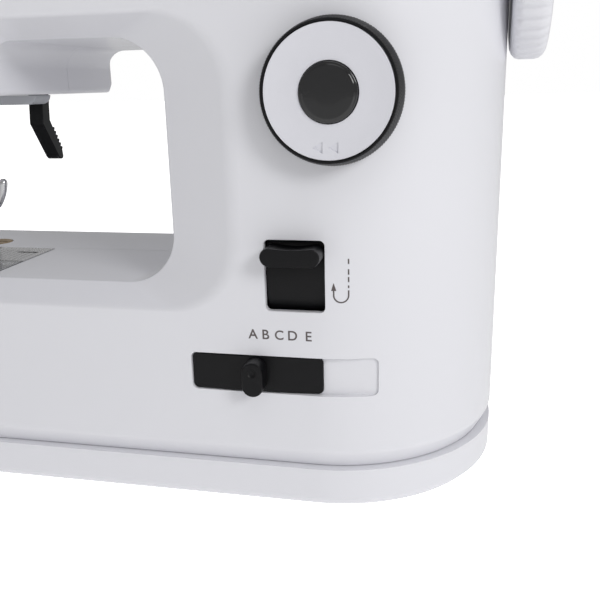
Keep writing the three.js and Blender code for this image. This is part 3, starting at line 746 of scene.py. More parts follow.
class SEWING_OT_covers(Build, bpy.types.Operator):
    """Front and rear covers: one moulded form, hollowed out and split along the seam"""
    bl_idname = "sewing.covers"
    bl_label = "Covers"

    def execute(self, context):
        h = housing()
        form = carve(body_form("cover_form", 0), body_form("cover_hollow", h.wall))
        t = throat_sizes()

        def left_edge(edge, spot):
            level = min(abs(spot.z - t.bed), abs(spot.z - t.head_under))
            return level < 0.02 and spot.x < t.head_right - 30 and edge.calc_face_angle(0) > 1.2

        round_edges(form, left_edge, 1.4, 4)
        rear = add_object("rear_shell", form.data.copy())
        gap = h.seam_gap / 2
        meet(form, block("front_half", LEFT - 5, RIGHT + 5, FRONT - 5, SEAM - gap, 0, TOP + 5))
        meet(rear, block("rear_half", LEFT - 5, RIGHT + 5, SEAM + gap, REAR + 5, 0, TOP + 5))
        form.name = "front_shell"
        self.cut_front(form)
        self.cut_rear(rear)
        stand_for(form, "front_cover", finishes().white, 24)
        stand_for(rear, "rear_cover", finishes().white, 24)
        return {"FINISHED"}

    def shared_cutters(self):
        lens_low, lens_high = corners("lamp_lens")
        wide = corners("head_plate")[1].x
        return [
            block("bars", LEFT + 10.7, wide - 14, -6.5, 12.5, 160, 176),
            block("lifter_way", wide - 13, corners("presser_lifter")[1].x + 0.8, 2, 27, 160, 176),
            block("lens_seat", lens_low.x - CLEARANCE, lens_high.x + CLEARANCE,
                  lens_low.y - CLEARANCE, lens_high.y + CLEARANCE, 160, 176),
            rod("shaft_way", 5.5, RIGHT - 12, RIGHT + 3, "x", SHAFT.y, SHAFT.z),
        ]

    def cut_front(self, shell):
        cover_front = corners("bobbin_cover")[0].y
        plate_low, plate_high = corners("needle_plate")
        low, high = corners("group_slider")
        knob = middle("slider_knob").x
        take_up = middle("take_up_lever").x
        ledge = block("ledge", plate_low.x - 3, plate_high.x + 3, cover_front - 2, SEAM - 0.15, 87.5, 92)
        pad = slider_solid("slider_pad", [6.0, 1.3], 10, high.x + SLIDER_TRAVEL + 3, 49, 71, 2, [0, 0])
        fuse(shell, ledge, pad)
        recess = slider_solid("recess", [1.5, 1.2, 0.35, 0.0, -8], low.x - 0.3, high.x + SLIDER_TRAVEL + 0.35,
                              52.2, 67.8, 2.2, [-0.3, 0, 0, 0.12, 0.3])
        carve(shell,
              block("plate_seat", plate_low.x - CLEARANCE, plate_high.x + CLEARANCE, cover_front - CLEARANCE,
                    plate_high.y + CLEARANCE, plate_low.z - CLEARANCE, 97),
              block("hook_way", plate_low.x + 2.5, plate_high.x - 2.5, cover_front + 2.5,
                    plate_high.y - 1.2, 80, 97),
              lever_window(),
              recess,
              block("knob_way", knob - 2.4, knob + SLIDER_TRAVEL + 2.6, FRONT - 2, FRONT + 12, 56.5, 63.5),
              prism("take_up_way", capsule(take_up - 3.2, take_up + 3.2, 178, 234, 3), "y",
                    FRONT - 3, FRONT + 6),
              *(rod("front_way", 3.4, FRONT - 3, FRONT + 6, "y", spot.x, spot.z, 32)
                for spot in (middle("tension_dial"), DIAL)),
              *self.shared_cutters())

    def cut_rear(self, shell):
        spool, winder, screw = middle("spool_pin"), middle("winder_spindle"), middle("bed_screw")
        inlet, jack, switch = middle("power_inlet"), middle("pedal_jack"), middle("power_switch")
        winder_slot = capsule(winder.x - 3.6, winder.x + 7.6, winder.y - 3.6, winder.y + 3.6, 3.5)
        switch_slot = capsule(switch.x - 6.6, switch.x + 6.6, switch.z - 11.2, switch.z + 11.2, 1.2)
        fuse(shell, rod("screw_seat", 10, 88.6, 92, "z", screw.x, screw.y, 48))
        carve(shell,
              rod("spool_way", 3.4, TOP - 6, TOP + 2, "z", spool.x, spool.y, 32),
              prism("winder_way", winder_slot, "z", TOP - 6, TOP + 2),
              rod("inlet_way", 5.6, REAR - 20, REAR + 2, "y", inlet.x, inlet.z),
              prism("switch_way", switch_slot, "y", REAR - 10, REAR + 3),
              rod("jack_way", 4.6, REAR - 20, REAR + 2, "y", jack.x, jack.z),
              turned("screw_way", [(0, 86), (2.6, 86), (2.6, 91.1), (7.9, 91.1), (7.9, 95), (0, 95)],
                     "z", screw.x, screw.y, 48),
              *self.shared_cutters())


class SEWING_OT_tray(Build, bpy.types.Operator):
    """Base tray and its rubber feet"""
    bl_idname = "sewing.tray"
    bl_label = "Base tray and feet"

    def execute(self, context):
        wall = housing().wall
        low, high = TRAY_LOW.z, TRAY_HIGH.z
        outside = eased([(3.6, low), (3, low), (0, 6), (0, high)], 1.4, 4)
        inside = [(5.5, 5.5), (wall, 8.5), (wall, high - 1.8), (9, high - 1.2), (9, high + 2)]
        tray = stack("tray", [plan(i) for i, z in outside], [z for i, z in outside], "z")
        carve(tray, stack("tray_hollow", [plan(i) for i, z in inside], [z for i, z in inside], "z"))
        stand_for(tray, "base_tray", finishes().white, 26)
        for i in range(1, 5):
            node = "foot_%d" % i
            centre, top = middle(node), corners(node)[1].z
            profile = [(0, 0.5), (3.2, 0.5), (3.6, 0), (7.1, 0), (7.6, 0.4), (8, top), (0, top)]
            foot = turned("rubber_foot_%d" % i, profile, "z", centre.x, centre.y, 48)
            stand_for(foot, node, finishes().rubber)
        return {"FINISHED"}


class SEWING_OT_dial(Build, bpy.types.Operator):
    """Stitch dial: knurled rim, dished face with two pressed marks and a glossy hub"""
    bl_idname = "sewing.dial"
    bl_label = "Stitch dial"

    def execute(self, context):
        back, face = FRONT - 0.2, FRONT - 9.5
        count = controls().knurls
        shade = finishes()

        def knurl(angle, radius, height):
            if radius < 24.2 or height > back - 0.4:
                return 0.0
            swing = (angle * count / (2 * pi) + (height - face) * 0.42) % 1
            return -0.42 * abs(2 * swing - 1)

        flank = [(25.75 - 1.3 * (k / 11) ** 1.2, back - 1.0 - 7.7 * k / 11) for k in range(12)]
        profile = [(3.3, back), (25.4, back), (25.75, back - 0.6), *flank, (24.15, face + 0.25), (23.9, face),
                   (23.5, face), (23.3, face + 0.2), (23.3, back - 2), (3.3, back - 2)]
        ring = turned("dial_rim", profile, "y", DIAL.x, DIAL.z, count * 4, knurl)
        stand_for(ring, "dial_ring", shade.black, 40)
        rear = FRONT - 2.5
        dish = [(22.9 - 12.2 * k / 14, FRONT - 9.15 + 0.75 * sin(pi * min(1, k / 11) / 2)) for k in range(15)]
        profile = [(10.7, rear), (23, rear), (23, FRONT - 9.0)] + dish
        plate = turned("dial_dish", profile, "y", DIAL.x, DIAL.z, 128)
        z = DIAL.z - 18.6
        marks = [[(x, z - 2), (x, z + 2), (x - 3.5, z)] for x in (DIAL.x - 2.2, DIAL.x + 3.4)]
        carve(plate, *(prism("pressed_mark", mark, "y", FRONT - 12, FRONT - 8.15) for mark in marks))
        stand_for(plate, "dial_face", shade.dial_white, 28)
        tip = FRONT - 9.45
        profile = [(0, rear), (10.4, rear), (10.4, tip + 0.75), (10.25, tip + 0.35), (9.9, tip + 0.2),
                   (9.5, tip + 0.28), (9.35, tip + 0.2), (9.1, tip + 0.04), (8.8, tip), (4, tip + 0.02),
                   (0, tip + 0.03)]
        hub = turned("dial_hub_cap", profile, "y", DIAL.x, DIAL.z, 128)
        stand_for(hub, "dial_hub", shade.gloss_black, 50)
        return {"FINISHED"}


class SEWING_OT_lever(Build, bpy.types.Operator):
    """Reverse lever: finger pad with a hollow on top, curved shutter and side arms"""
    bl_idname = "sewing.lever"
    bl_label = "Reverse lever"

    def execute(self, context):
        px, py, pz = pivot_of("reverse_press")
        half, reach = 11.4, 40.0
        curve = arc(py, pz, reach, 138, 201, 40) + arc(py, pz, reach - 2, 201, 138, 40)
        shutter = prism("reverse_handle", curve, "x", px - half, px + half)
        tip = FRONT - 8.4
        levels = [(FRONT + 3.4, 0, 1.5), (FRONT + 1, 0, 1.45), (FRONT - 1.5, 0, 1.35), (FRONT - 4, 0, 1.2),
                  (FRONT - 6.2, 0, 1.0), (tip + 0.9, 0, 0.85), (tip + 0.45, -0.05, 0.8),
                  (tip + 0.15, -0.2, 0.75), (tip, -0.5, 0.7)]
        pad_foot, pad_waist, pad_top, hollow_width = 105.9, 109.6, 113.3, 8.6

        def hollowed(u, v, dip):
            across = max(-pi / 2, min(pi / 2, (u - px) / hollow_width))
            return (u, v - dip * cos(across) ** 2 if v > pad_waist else v)

        outlines = []
        for y, grow, dip in levels:
            outline = capsule(px - half, px + half, pad_foot, pad_top, 3.65, grow, 1.2)
            outlines.append([hollowed(u, v, dip) for u, v in outline])
        pad = loft("pad", outlines, lambda k, u, v: levels[k][0], "y", paired=True)
        outline = [(py - 39, pz - 6), (py + 2, pz - 4), (py + 2, pz + 4), (py - 39, pz + 8)]
        arms = [prism("arm", eased(outline, 1.5, 3, True), "x", left, left + 2.5)
                for left in (px - half, px + half - 2.5)]
        pivot = turned("pivot", rod_profile(3, px - half - 3, px + half + 3, 0.4), "x", py, pz, 32)
        fuse(shutter, pad, pivot, *arms)
        stand_for(shutter, "reverse_lever", finishes().black, 35)
        return {"FINISHED"}


class SEWING_OT_slider(Build, bpy.types.Operator):
    """Group slider with its finger knob"""
    bl_idname = "sewing.slider"
    bl_label = "Group slider"

    def execute(self, context):
        low, high = corners("group_slider")
        knob_low, knob_high = corners("slider_knob")
        plate = slider_solid("slider_plate", [1.2, 0.9, 0.45, 0.1, 0.0], low.x, high.x, low.z, high.z, 2.0,
                             [-0.2, 0, 0, -0.12, -0.45])
        centre = (knob_low.x + knob_high.x) / 2
        fuse(plate, block("stem", centre - 2, centre + 2, FRONT + 0.6, FRONT + 10, 57, 63))
        stand_for(plate, "group_slider", finishes().black, 20)
        tip, root = knob_low.y, knob_high.y
        levels = [(root, 0), (tip + 1.0, 0), (tip + 0.55, -0.05), (tip + 0.2, -0.25), (tip, -0.65)]
        outlines = [capsule(knob_low.x, knob_high.x, knob_low.z, knob_high.z, 4.2, g, 1.5) for y, g in levels]
        knob = loft("slider_grip", outlines, lambda k, u, v: levels[k][0], "y", paired=True)
        dimple = [(0, tip - 2), (1.9, tip - 2), (1.75, tip - 0.02), (1.45, tip + 0.3), (0.8, tip + 0.6),
                  (0, tip + 0.7)]
        carve(knob, turned("dimple", dimple, "y", centre, knob_high.z - 4.3, 32))
        stand_for(knob, "slider_knob", finishes().black, 30)
        return {"FINISHED"}


def ribbon(name, path, width):
    """A thin printed stroke that lies on the front face along a path of (x, z) points."""
    points = []
    for spot, heading in headings([Vector(p) for p in path]):
        across = Vector((-heading.y, heading.x)) * width / 2
        left, right = spot + across, spot - across
        for corner, depth in ((left, -PRINT), (right, -PRINT), (right, 0.3), (left, 0.3)):
            points.append((corner.x, front_skin(corner.x) + depth, corner.y))
    return rings(name, points, 4)


def letter(text, x, z, height):
    """A printed capital on the front face, centred on x with its foot at z."""
    curve = bpy.data.curves.new("letter", "FONT")
    curve.body = text
    curve.offset = 0.012
    holder = add_object("letter", curve)
    graph = bpy.context.evaluated_depsgraph_get()
    graph.update()
    flat = bpy.data.meshes.new_from_object(holder.evaluated_get(graph))
    bpy.data.objects.remove(holder)
    piece = add_object("group_mark_" + text, flat)
    spots = [v.co.copy() for v in flat.vertices]
    low_u, high_u = min(c.x for c in spots), max(c.x for c in spots)
    low_v, high_v = min(c.y for c in spots), max(c.y for c in spots)
    scale = height / (high_v - low_v)
    for vertex, spot in zip(flat.vertices, spots):
        at = x + (spot.x - (low_u + high_u) / 2) * scale
        vertex.co = Vector((at, front_skin(at) - PRINT, z + (spot.y - low_v) * scale)) * MM
    thick = piece.modifiers.new("thickness", "SOLIDIFY")
    thick.thickness = 0.3 * MM
    thick.offset = -1
    return settle(piece)


class SEWING_OT_markings(Build, bpy.types.Operator):
    """Printed marks: group letters over the slider and the reverse arrow beside the lever"""
    bl_idname = "sewing.markings"
    bl_label = "Printed marks"

    def execute(self, context):
        ink = finishes().ink
        for text, x in zip("ABCDE", LETTER_PLACES):
            place_piece(letter(text, x, LETTER_FOOT, LETTER_HEIGHT), "housing", ink)
        x0, radius, bottom, stroke = 74.85, 2.8, 90.8, 0.55
        hook = [(x0 + radius, 95.6)] + arc(x0, bottom + radius, radius, 0, -180, 20) + [(x0 - radius, 95.6)]
        strokes = [ribbon("turn_back", hook, stroke)]
        for i, (low, high) in enumerate(((96.5, 97.5), (98.8, 100.8), (101.7, 103.8), (105.8, 107.8))):
            strokes.append(ribbon("dash_%d" % i, [(x0 + radius, low), (x0 + radius, high)], stroke))
        tip_foot, tip_height = 95.4, 3
        head = ribbon("arrow_tip", [(x0 - radius, tip_foot + tip_height * k / 6) for k in range(7)], 1.0)
        for vertex in head.data.vertices:
            share = (vertex.co.z / MM - tip_foot) / tip_height
            vertex.co.x = (x0 - radius + (vertex.co.x / MM - x0 + radius) * 1.9 * (1.03 - share)) * MM
        strokes.append(head)
        place_piece(join_meshes("reverse_mark", strokes), "housing", ink)
        return {"FINISHED"}


class SEWING_OT_handwheel(Build, bpy.types.Operator):
    """Handwheel with finger ribs, and its cap"""
    bl_idname = "sewing.handwheel"
    bl_label = "Handwheel"

    def execute(self, context):
        ribs = controls().wheel_ribs

        def rib(angle, radius, height):
            if radius < 30.5:
                return 0.0
            return -0.75 * (0.5 - 0.5 * cos(ribs * angle)) ** 2

        start = corners("handwheel")[0].x
        rim = [(26, 0), (29.2, 0.35), (31, 1.1), (32.4, 2.4), (33, 4), (33, 6), (33, 8), (33, 10.2),
               (32.5, 12.2), (31.4, 13.6), (30.2, 14.3), (28.9, 14.6), (27.4, 14.2), (26.2, 13.2), (24, 12.5),
               (14.5, 12.2), (13.4, 12.6), (12.8, 13.2), (4.4, 13.2), (4.4, 0)]
        wheel = turned("wheel", [(r, start + h) for r, h in rim], "x", SHAFT.y, SHAFT.z, ribs * 8, rib)
        stand_for(wheel, "handwheel", finishes().fitting, 40)
        low, high = corners("handwheel_cap")
        cap = [(0, low.x), (11.5, low.x), (11.5, low.x + 1.6), (11.1, low.x + 2.1), (9.6, high.x - 0.2),
               (8.8, high.x), (5.4, high.x), (5.0, high.x - 0.5), (0, high.x - 0.6)]
        stand_for(turned("wheel_cap", cap, "x", SHAFT.y, SHAFT.z, 96), "handwheel_cap", finishes().grey, 30)
        return {"FINISHED"}


class SEWING_OT_lifter(Build, bpy.types.Operator):
    """Presser lifter: finger leg with grip ridges, its cross shaft and the cam finger"""
    bl_idname = "sewing.lifter"
    bl_label = "Presser lifter"

    def execute(self, context):
        py, pz = pivot_of("lifter_raise")[1:]
        low, high = corners("presser_lifter")
        left, right, half, lean = high.x - 7.1, high.x, 2.95, 1.2
        ridges = []
        for i in range(6):
            share = 0.1 + 0.72 * i / 6
            for lift, step in ((-0.5, 0), (0.6, 0.03), (0.6, 0.07), (-0.5, 0.1)):
                s = share + step
                ridges.append((py + 12.4 + (half - 12.4) * s + lift * 0.8, 141 + 16 * s + lift * 0.55))
        outline = ([(py - half + lean, pz), (py - half - lean, 155.6), (py + 7.6, 139.0)]
                   + arc(py + 9.7, 139.9, 2.0, 215, 340, 6)
                   + ridges + [(py + half - lean / 2, 157), (py + half + lean, pz)])
        leg = soften(prism("lifter_leg", outline, "x", left, right), 0.55, 3, 50)
        hub = turned("hub", rod_profile(4.5, left, right), "x", py, pz, 40)
        shaft = rod("cross_shaft", 2.5, low.x, right - 1, "x", py, pz, 32)
        fuse(leg, hub, shaft, block("finger", low.x, low.x + 3.6, py, py + 10, pz - 2, pz + 2))
        stand_for(leg, "presser_lifter", finishes().black, 35)
        return {"FINISHED"}


class SEWING_OT_head(Build, bpy.types.Operator):
    """Plate under the head and the lamp lens"""
    bl_idname = "sewing.head"
    bl_label = "Head plate and lamp lens"

    def execute(self, context):
        low, high = corners("head_plate")
        needle, gap = middle("needle_bar"), corners("presser_lifter")[1].x - 7.7
        undercut = arc(high.x - 4.2, low.z + 4.2, 4.2, -90, -8, 8)
        outline = [(low.x, low.z), *undercut, (high.x, high.z), (low.x, high.z)]
        plate = prism("under_plate", outline, "y", low.y, high.y)
        carve(plate, *(rod("bore", 3.6, 160, 172, "z", needle.x, y) for y in (needle.y, 8.5)),
              block("lifter_gap", gap, -60, 4.6, 27, 160, 172))
        soften(plate, 0.4, 2, 40)
        stand_for(plate, "head_plate", finishes().grey, 35)
        low, high = corners("lamp_lens")
        ripples = [(low.x + (high.x - low.x) * i / 24, low.z + 0.35 * (i % 2)) for i in range(25)]
        lens = prism("lamp_window", ripples + [(high.x, high.z), (low.x, high.z)], "y", low.y, high.y)
        stand_for(lens, "lamp_lens", finishes().clear, 20)
        return {"FINISHED"}


class SEWING_OT_bed(Build, bpy.types.Operator):
    """Needle plate, bobbin cover and the brass screw in the bed"""
    bl_idname = "sewing.bed"
    bl_label = "Bed plates"

    def execute(self, context):
        low, high = corners("needle_plate")
        needle = middle("needle")
        plate = block("stitch_plate", low.x, high.x, low.y, high.y, low.z, high.z)
        openings = [capsule(needle.x - 6.15, needle.x - 3.45, -2, 11.6, 0.6),
                    capsule(needle.x + 3.45, needle.x + 6.15, -2, 11.6, 0.6),
                    capsule(needle.x - 2.4, needle.x + 2.4, needle.y - 1.2, needle.y + 1.2, 1.15),
                    capsule(-99, -87.7, 1.6, 3.4, 0.85)]
        guides = [block("guide", needle.x + x - 0.2, needle.x + x + 0.2, low.y + 1.5, high.y - 6,
                        high.z - 0.15, high.z + 1) for x in range(10, 32, 3)]
        carve(plate, *(prism("opening", outline, "z", 85, 96) for outline in openings), *guides)
        soften(plate, 0.18, 2, 40)
        stand_for(plate, "needle_plate", finishes().steel, 35)
        low, high = corners("bobbin_cover")
        cover = block("bobbin_window", low.x, high.x, low.y, high.y, low.z, high.z)
        grip = prism("grip_dip", capsule(low.x + 18, low.x + 36, low.y + 3, low.y + 6.5, 1.7), "z",
                     high.z - 0.7, high.z + 1)
        hollow = block("hollow", low.x + 2, high.x - 2, low.y + 2, high.y - 2, low.z - 1, high.z - 1.2)
        carve(cover, grip, hollow)
        soften(cover, 0.25, 2, 40)
        stand_for(cover, "bobbin_cover", finishes().clear, 35)
        low, high, centre = extent("bed_screw")
        profile = [(0, low.z), (2.2, low.z), (2.2, 91.4), (7.1, 91.4), (7.5, 91.8), (7.5, high.z - 0.5),
                   (7.1, high.z - 0.1), (6.4, high.z), (0, high.z)]
        screw = turned("bed_fixing", profile, "z", centre.x, centre.y, 64)
        carve(screw, block("driver_slot", centre.x - 6, centre.x + 6, centre.y - 0.6, centre.y + 0.6,
                           high.z - 0.8, high.z + 1))
        stand_for(screw, "bed_screw", finishes().brass, 35)
        return {"FINISHED"}


class SEWING_OT_needle(Build, bpy.types.Operator):
    """Needle bar, clamp with its thumb screw, and the needle"""
    bl_idname = "sewing.needle"
    bl_label = "Needle bar and needle"

    def execute(self, context):
        steel = finishes().steel
        bar_low, bar_high = corners("needle_bar")
        x, y = middle("needle").x, middle("needle").y
        bar = turned("needle_rod", rod_profile(3, bar_low.z, bar_high.z, 0.4), "z", x, y, 48)
        stand_for(bar, "needle_bar", steel)
        low, high = corners("needle_clamp")
        profile = [(0, low.z), (3.8, low.z), (4.6, low.z + 0.8), (4.6, high.z - 2.2), (4.2, high.z - 1.8),
                   (4.2, high.z - 1.4), (4.6, high.z - 1.0), (4.6, high.z - 0.3), (4.3, high.z), (0, high.z)]
        stand_for(turned("clamp_collar", profile, "z", x, y, 56), "needle_clamp", steel)
        low, high, centre = extent("clamp_screw")
        z = centre.z
        shank = turned("thumb_screw", rod_profile(1.6, low.x, high.x - 3.2), "x", y, z, 32)
        shares = [k / 14 for k in range(15)]
        path = [Vector((high.x - 0.9 - 0.5 * t - 3.6 * t * t, y, z + 4.2 - 13.4 * t)) for t in shares]

        def swell(t):
            return 0.45 + 6 * t if t <= 0.08 else 0.55 + 0.5 * sin(pi * (0.18 + 0.5 * (1 - t))) - 0.35 * t

        fuse(shank, tube_along("thumb", path, 2.0, 20, swell))
        stand_for(shank, "clamp_screw", steel)
        low, high = corners("needle")
        tip = low.z
        profile = [(0, tip), (0.12, tip + 0.6), (0.3, tip + 2.2), (0.48, tip + 4.6), (0.55, tip + 8),
                   (0.6, 110), (0.75, 110.8), (1, 111.6), (1, high.z - 0.2), (0.8, high.z), (0, high.z)]
        needle = turned("sewing_needle", profile, "z", x, y, 32)
        carve(needle, prism("eye", capsule(x - 0.2, x + 0.2, tip + 4.2, tip + 5.9, 0.19), "y", y - 2, y + 2),
              block("scarf", x - 1, x + 1, y + 0.33, y + 2, tip + 5.5, tip + 9))
        stand_for(needle, "needle", steel)
        return {"FINISHED"}


class SEWING_OT_presser(Build, bpy.types.Operator):
    """Presser bar, foot holder and the foot with turned-up toes"""
    bl_idname = "sewing.presser"
    bl_label = "Presser bar and foot"

    def execute(self, context):
        steel = finishes().steel
        low, high = corners("presser_bar")
        x, y = middle("foot_holder").x, middle("foot_holder").y
        bar = turned("presser_rod", rod_profile(3, low.z, high.z, 0.4), "z", x, y, 48)
        fuse(bar, soften(block("lift_arm", x - 1.25, high.x, 5, 18, 179.3, 183), 0.4, 2))
        stand_for(bar, "presser_bar", steel)
        low, high = corners("foot_holder")
        sleeve = turned("ankle", rod_profile(4.4, 103.7, high.z, 0.5), "z", x, y, 48)
        fuse(sleeve, soften(block("ankle_block", x - 4.25, x + 4.25, low.y, high.y, low.z, 106), 0.6, 3))
        carve(sleeve, block("foot_slot", x - 2.25, x + 2.25, 2, 10, 96, 102),
              rod("bar_way", 3.3, 106.5, 114, "z", x, y))
        stand_for(sleeve, "foot_holder", steel)
        low, high = corners("presser_foot")
        thick = 1.8
        lift = [(low.y + (high.y - low.y) * k / 16, max(0.0, (4.5 - k) / 4.5) ** 2 * 1.6) for k in range(17)]
        side = [(v, low.z + up) for v, up in lift] + [(v, low.z + up + thick) for v, up in reversed(lift)]
        sole = prism("foot_sole", side, "x", low.x, high.x)
        outline = capsule(low.x, high.x, low.y, high.y, 2.2)
        meet(sole, prism("sole_outline", outline, "z", low.z - 2, low.z + 6))
        fuse(sole, soften(block("foot_post", x - 1.85, x + 1.85, 5, 9.2, 95.2, high.z), 0.4, 2))
        carve(sole, prism("needle_slot", capsule(x - 2.65, x + 2.65, -4.6, 0.4, 1.5), "z", 92, 99),
              prism("toe_gap", capsule(x - 0.85, x + 0.85, -19, -6, 0.8), "z", 92, 99))
        stand_for(sole, "presser_foot", steel)
        return {"FINISHED"}


class SEWING_OT_head_controls(Build, bpy.types.Operator):
    """Take-up lever, tension dial and thread guide"""
    bl_idname = "sewing.head_controls"
    bl_label = "Head controls"

    def execute(self, context):
        x, y, z = pivot_of("take_up_swing")
        tilt = radians(15)

        def at(along, across):
            return (y - along * cos(tilt) - across * sin(tilt), z + along * sin(tilt) - across * cos(tilt))

        outline = [at(-4, -4), at(28, -2.3), at(40, -2.2), at(44.5, -2.5), at(46.5, -1.2), at(46.5, 1.2),
                   at(44.5, 2.5), at(40, 2.2), at(28, 2.3), at(-4, 4)]
        arm = prism("take_up_arm", eased(outline, 2.5, 4, True), "x", x - 1.5, x + 1.5)
        fuse(arm, turned("take_up_hub", rod_profile(5, x - 3, x + 3, 0.5), "x", y, z, 40))
        carve(arm, rod("thread_eye", 1.3, x - 4, x + 4, "x", *at(43.2, 0), 24))
        soften(arm, 0.35, 2, 40)
        stand_for(arm, "take_up_lever", finishes().steel)
        tx, tz = middle("tension_dial").x, middle("tension_dial").z

        def ribs(angle, radius, height):
            return -0.5 * (0.5 - 0.5 * cos(36 * angle)) if radius > 11.5 else 0.0

        face = FRONT - 8.4
        profile = [(0, face + 0.5), (6.5, face + 0.5), (7.2, face), (10.6, face), (11.6, face + 0.5),
                   (12, face + 1.4), (12, face + 3), (12, face + 5), (12, FRONT - 1.2), (11.6, FRONT - 0.3),
                   (0, FRONT - 0.3)]
        knob = turned("tension_knob", profile, "y", tx, tz, 288, ribs)
        fuse(knob, rod("tension_stem", 3, FRONT - 1, -40, "y", tx, tz))
        carve(knob, block("pointer", tx - 0.5, tx + 0.5, face - 1, face + 0.4, tz + 4, tz + 11))
        stand_for(knob, "tension_dial", finishes().fitting)
        low, high = corners("thread_guide")
        outline = [(low.y, low.z), (high.y, low.z), (high.y, low.z + 2.7), (low.y + 5, high.z),
                   (low.y, high.z)]
        guide = prism("arm_guide", eased(outline, 1.2, 3, True), "x", low.x, high.x)
        carve(guide, rod("guide_eye", 1.8, low.x - 3, high.x + 3, "x", 40, TOP + 7, 28))
        soften(guide, 0.3, 2, 40)
        stand_for(guide, "thread_guide", finishes().steel)
        return {"FINISHED"}


class SEWING_OT_winding(Build, bpy.types.Operator):
    """Spool pin, winder spindle and its stop"""
    bl_idname = "sewing.winding"
    bl_label = "Spool pin and winder"

    def execute(self, context):
        white = finishes().fitting
        low, high, centre = extent("spool_pin")
        profile = [(0, low.z), (3, low.z), (3, high.z - 6), (2.9, high.z - 4), (2.5, high.z - 1.6),
                   (1.8, high.z - 0.5), (0.9, high.z), (0, high.z)]
        stand_for(turned("spool_rod", profile, "z", centre.x, centre.y, 40), "spool_pin", white)
        low, high, centre = extent("winder_spindle")
        profile = [(0, low.z), (2.8, low.z), (2.8, 238), (10.5, 238), (10.5, 244), (2.8, 244), (2.8, TOP + 4),
                   (2.8, TOP + 9), (2.5, TOP + 12), (2.8, TOP + 14), (2.6, high.z - 2), (1.8, high.z - 0.4),
                   (0.9, high.z), (0, high.z)]
        stand_for(turned("winder_post", profile, "z", centre.x, centre.y, 40), "winder_spindle", white)
        low, high, centre = extent("winder_stop")

        def grip(angle, radius, height):
            return -0.25 * (0.5 - 0.5 * cos(24 * angle)) if radius > 5.6 else 0.0

        profile = [(0, low.z), (6, low.z), (6, low.z + 2), (6, low.z + 5), (6, high.z - 1.6),
                   (5.6, high.z - 0.6), (5, high.z), (0, high.z)]
        stand_for(turned("stop_button", profile, "z", centre.x, centre.y, 144, grip), "winder_stop", white)
        return {"FINISHED"}


class SEWING_OT_sockets(Build, bpy.types.Operator):
    """Power inlet, pedal jack, power switch and the rear cover screws"""
    bl_idname = "sewing.sockets"
    bl_label = "Sockets and switch"

    def execute(self, context):
        black = finishes().black
        for node, bore, outer in (("power_inlet", 3.2, 5.2), ("pedal_jack", 2, 4.2)):
            low, high, centre = extent(node)
            profile = [(bore, low.y), (outer, low.y), (outer, high.y - 0.4), (outer - 0.4, high.y),
                       (bore + 0.5, high.y), (bore, high.y - 0.5)]
            stand_for(turned(node + "_shell", profile, "y", centre.x, centre.z, 56), node, black)
        low, high, centre = extent("power_switch")
        outline = [(low.y, low.z), (high.y - 0.3, low.z), (high.y, low.z + 0.4)]
        outline += [(REAR - 0.6 + 1.2 * (k / 8) ** 2, centre.z + 9.6 * k / 8) for k in range(-8, 9)]
        outline += [(high.y, high.z - 0.4), (high.y - 0.3, high.z), (low.y, high.z)]
        rocker = prism("rocker", outline, "x", low.x, high.x)
        carve(rocker, block("mark_on", centre.x - 0.4, centre.x + 0.4, REAR - 0.3, REAR + 2,
                            centre.z + 4.5, centre.z + 7.5))
        stand_for(rocker, "power_switch", black, 20)
        profile = [(0, REAR - 0.2), (3.1, REAR - 0.2), (3.1, REAR), (2.6, REAR + 0.35), (1.6, REAR + 0.5),
                   (0, REAR + 0.55)]
        for i, (x, z) in enumerate(SCREW_PLACES):
            head = turned("cover_screw_%d" % (i + 1), profile, "y", x, z, 40)
            carve(head, block("cross_a", x - 1.7, x + 1.7, REAR + 0.1, REAR + 2, z - 0.3, z + 0.3),
                  block("cross_b", x - 0.3, x + 0.3, REAR + 0.1, REAR + 2, z - 1.7, z + 1.7))
            place_piece(head, "housing", finishes().steel)
        return {"FINISHED"}


class SEWING_OT_inner(Build, bpy.types.Operator):
    """Gives every frame node that stays its own finish"""
    bl_idname = "sewing.inner"
    bl_label = "Inner mechanism"

    def execute(self, context):
        by_slot = finishes().by_slot()
        for row in frame["record"]["subparts"]:
            for slot in frame["nodes"][row["node"]].material_slots:
                slot.material = by_slot[row["material_slot"]]
        return {"FINISHED"}


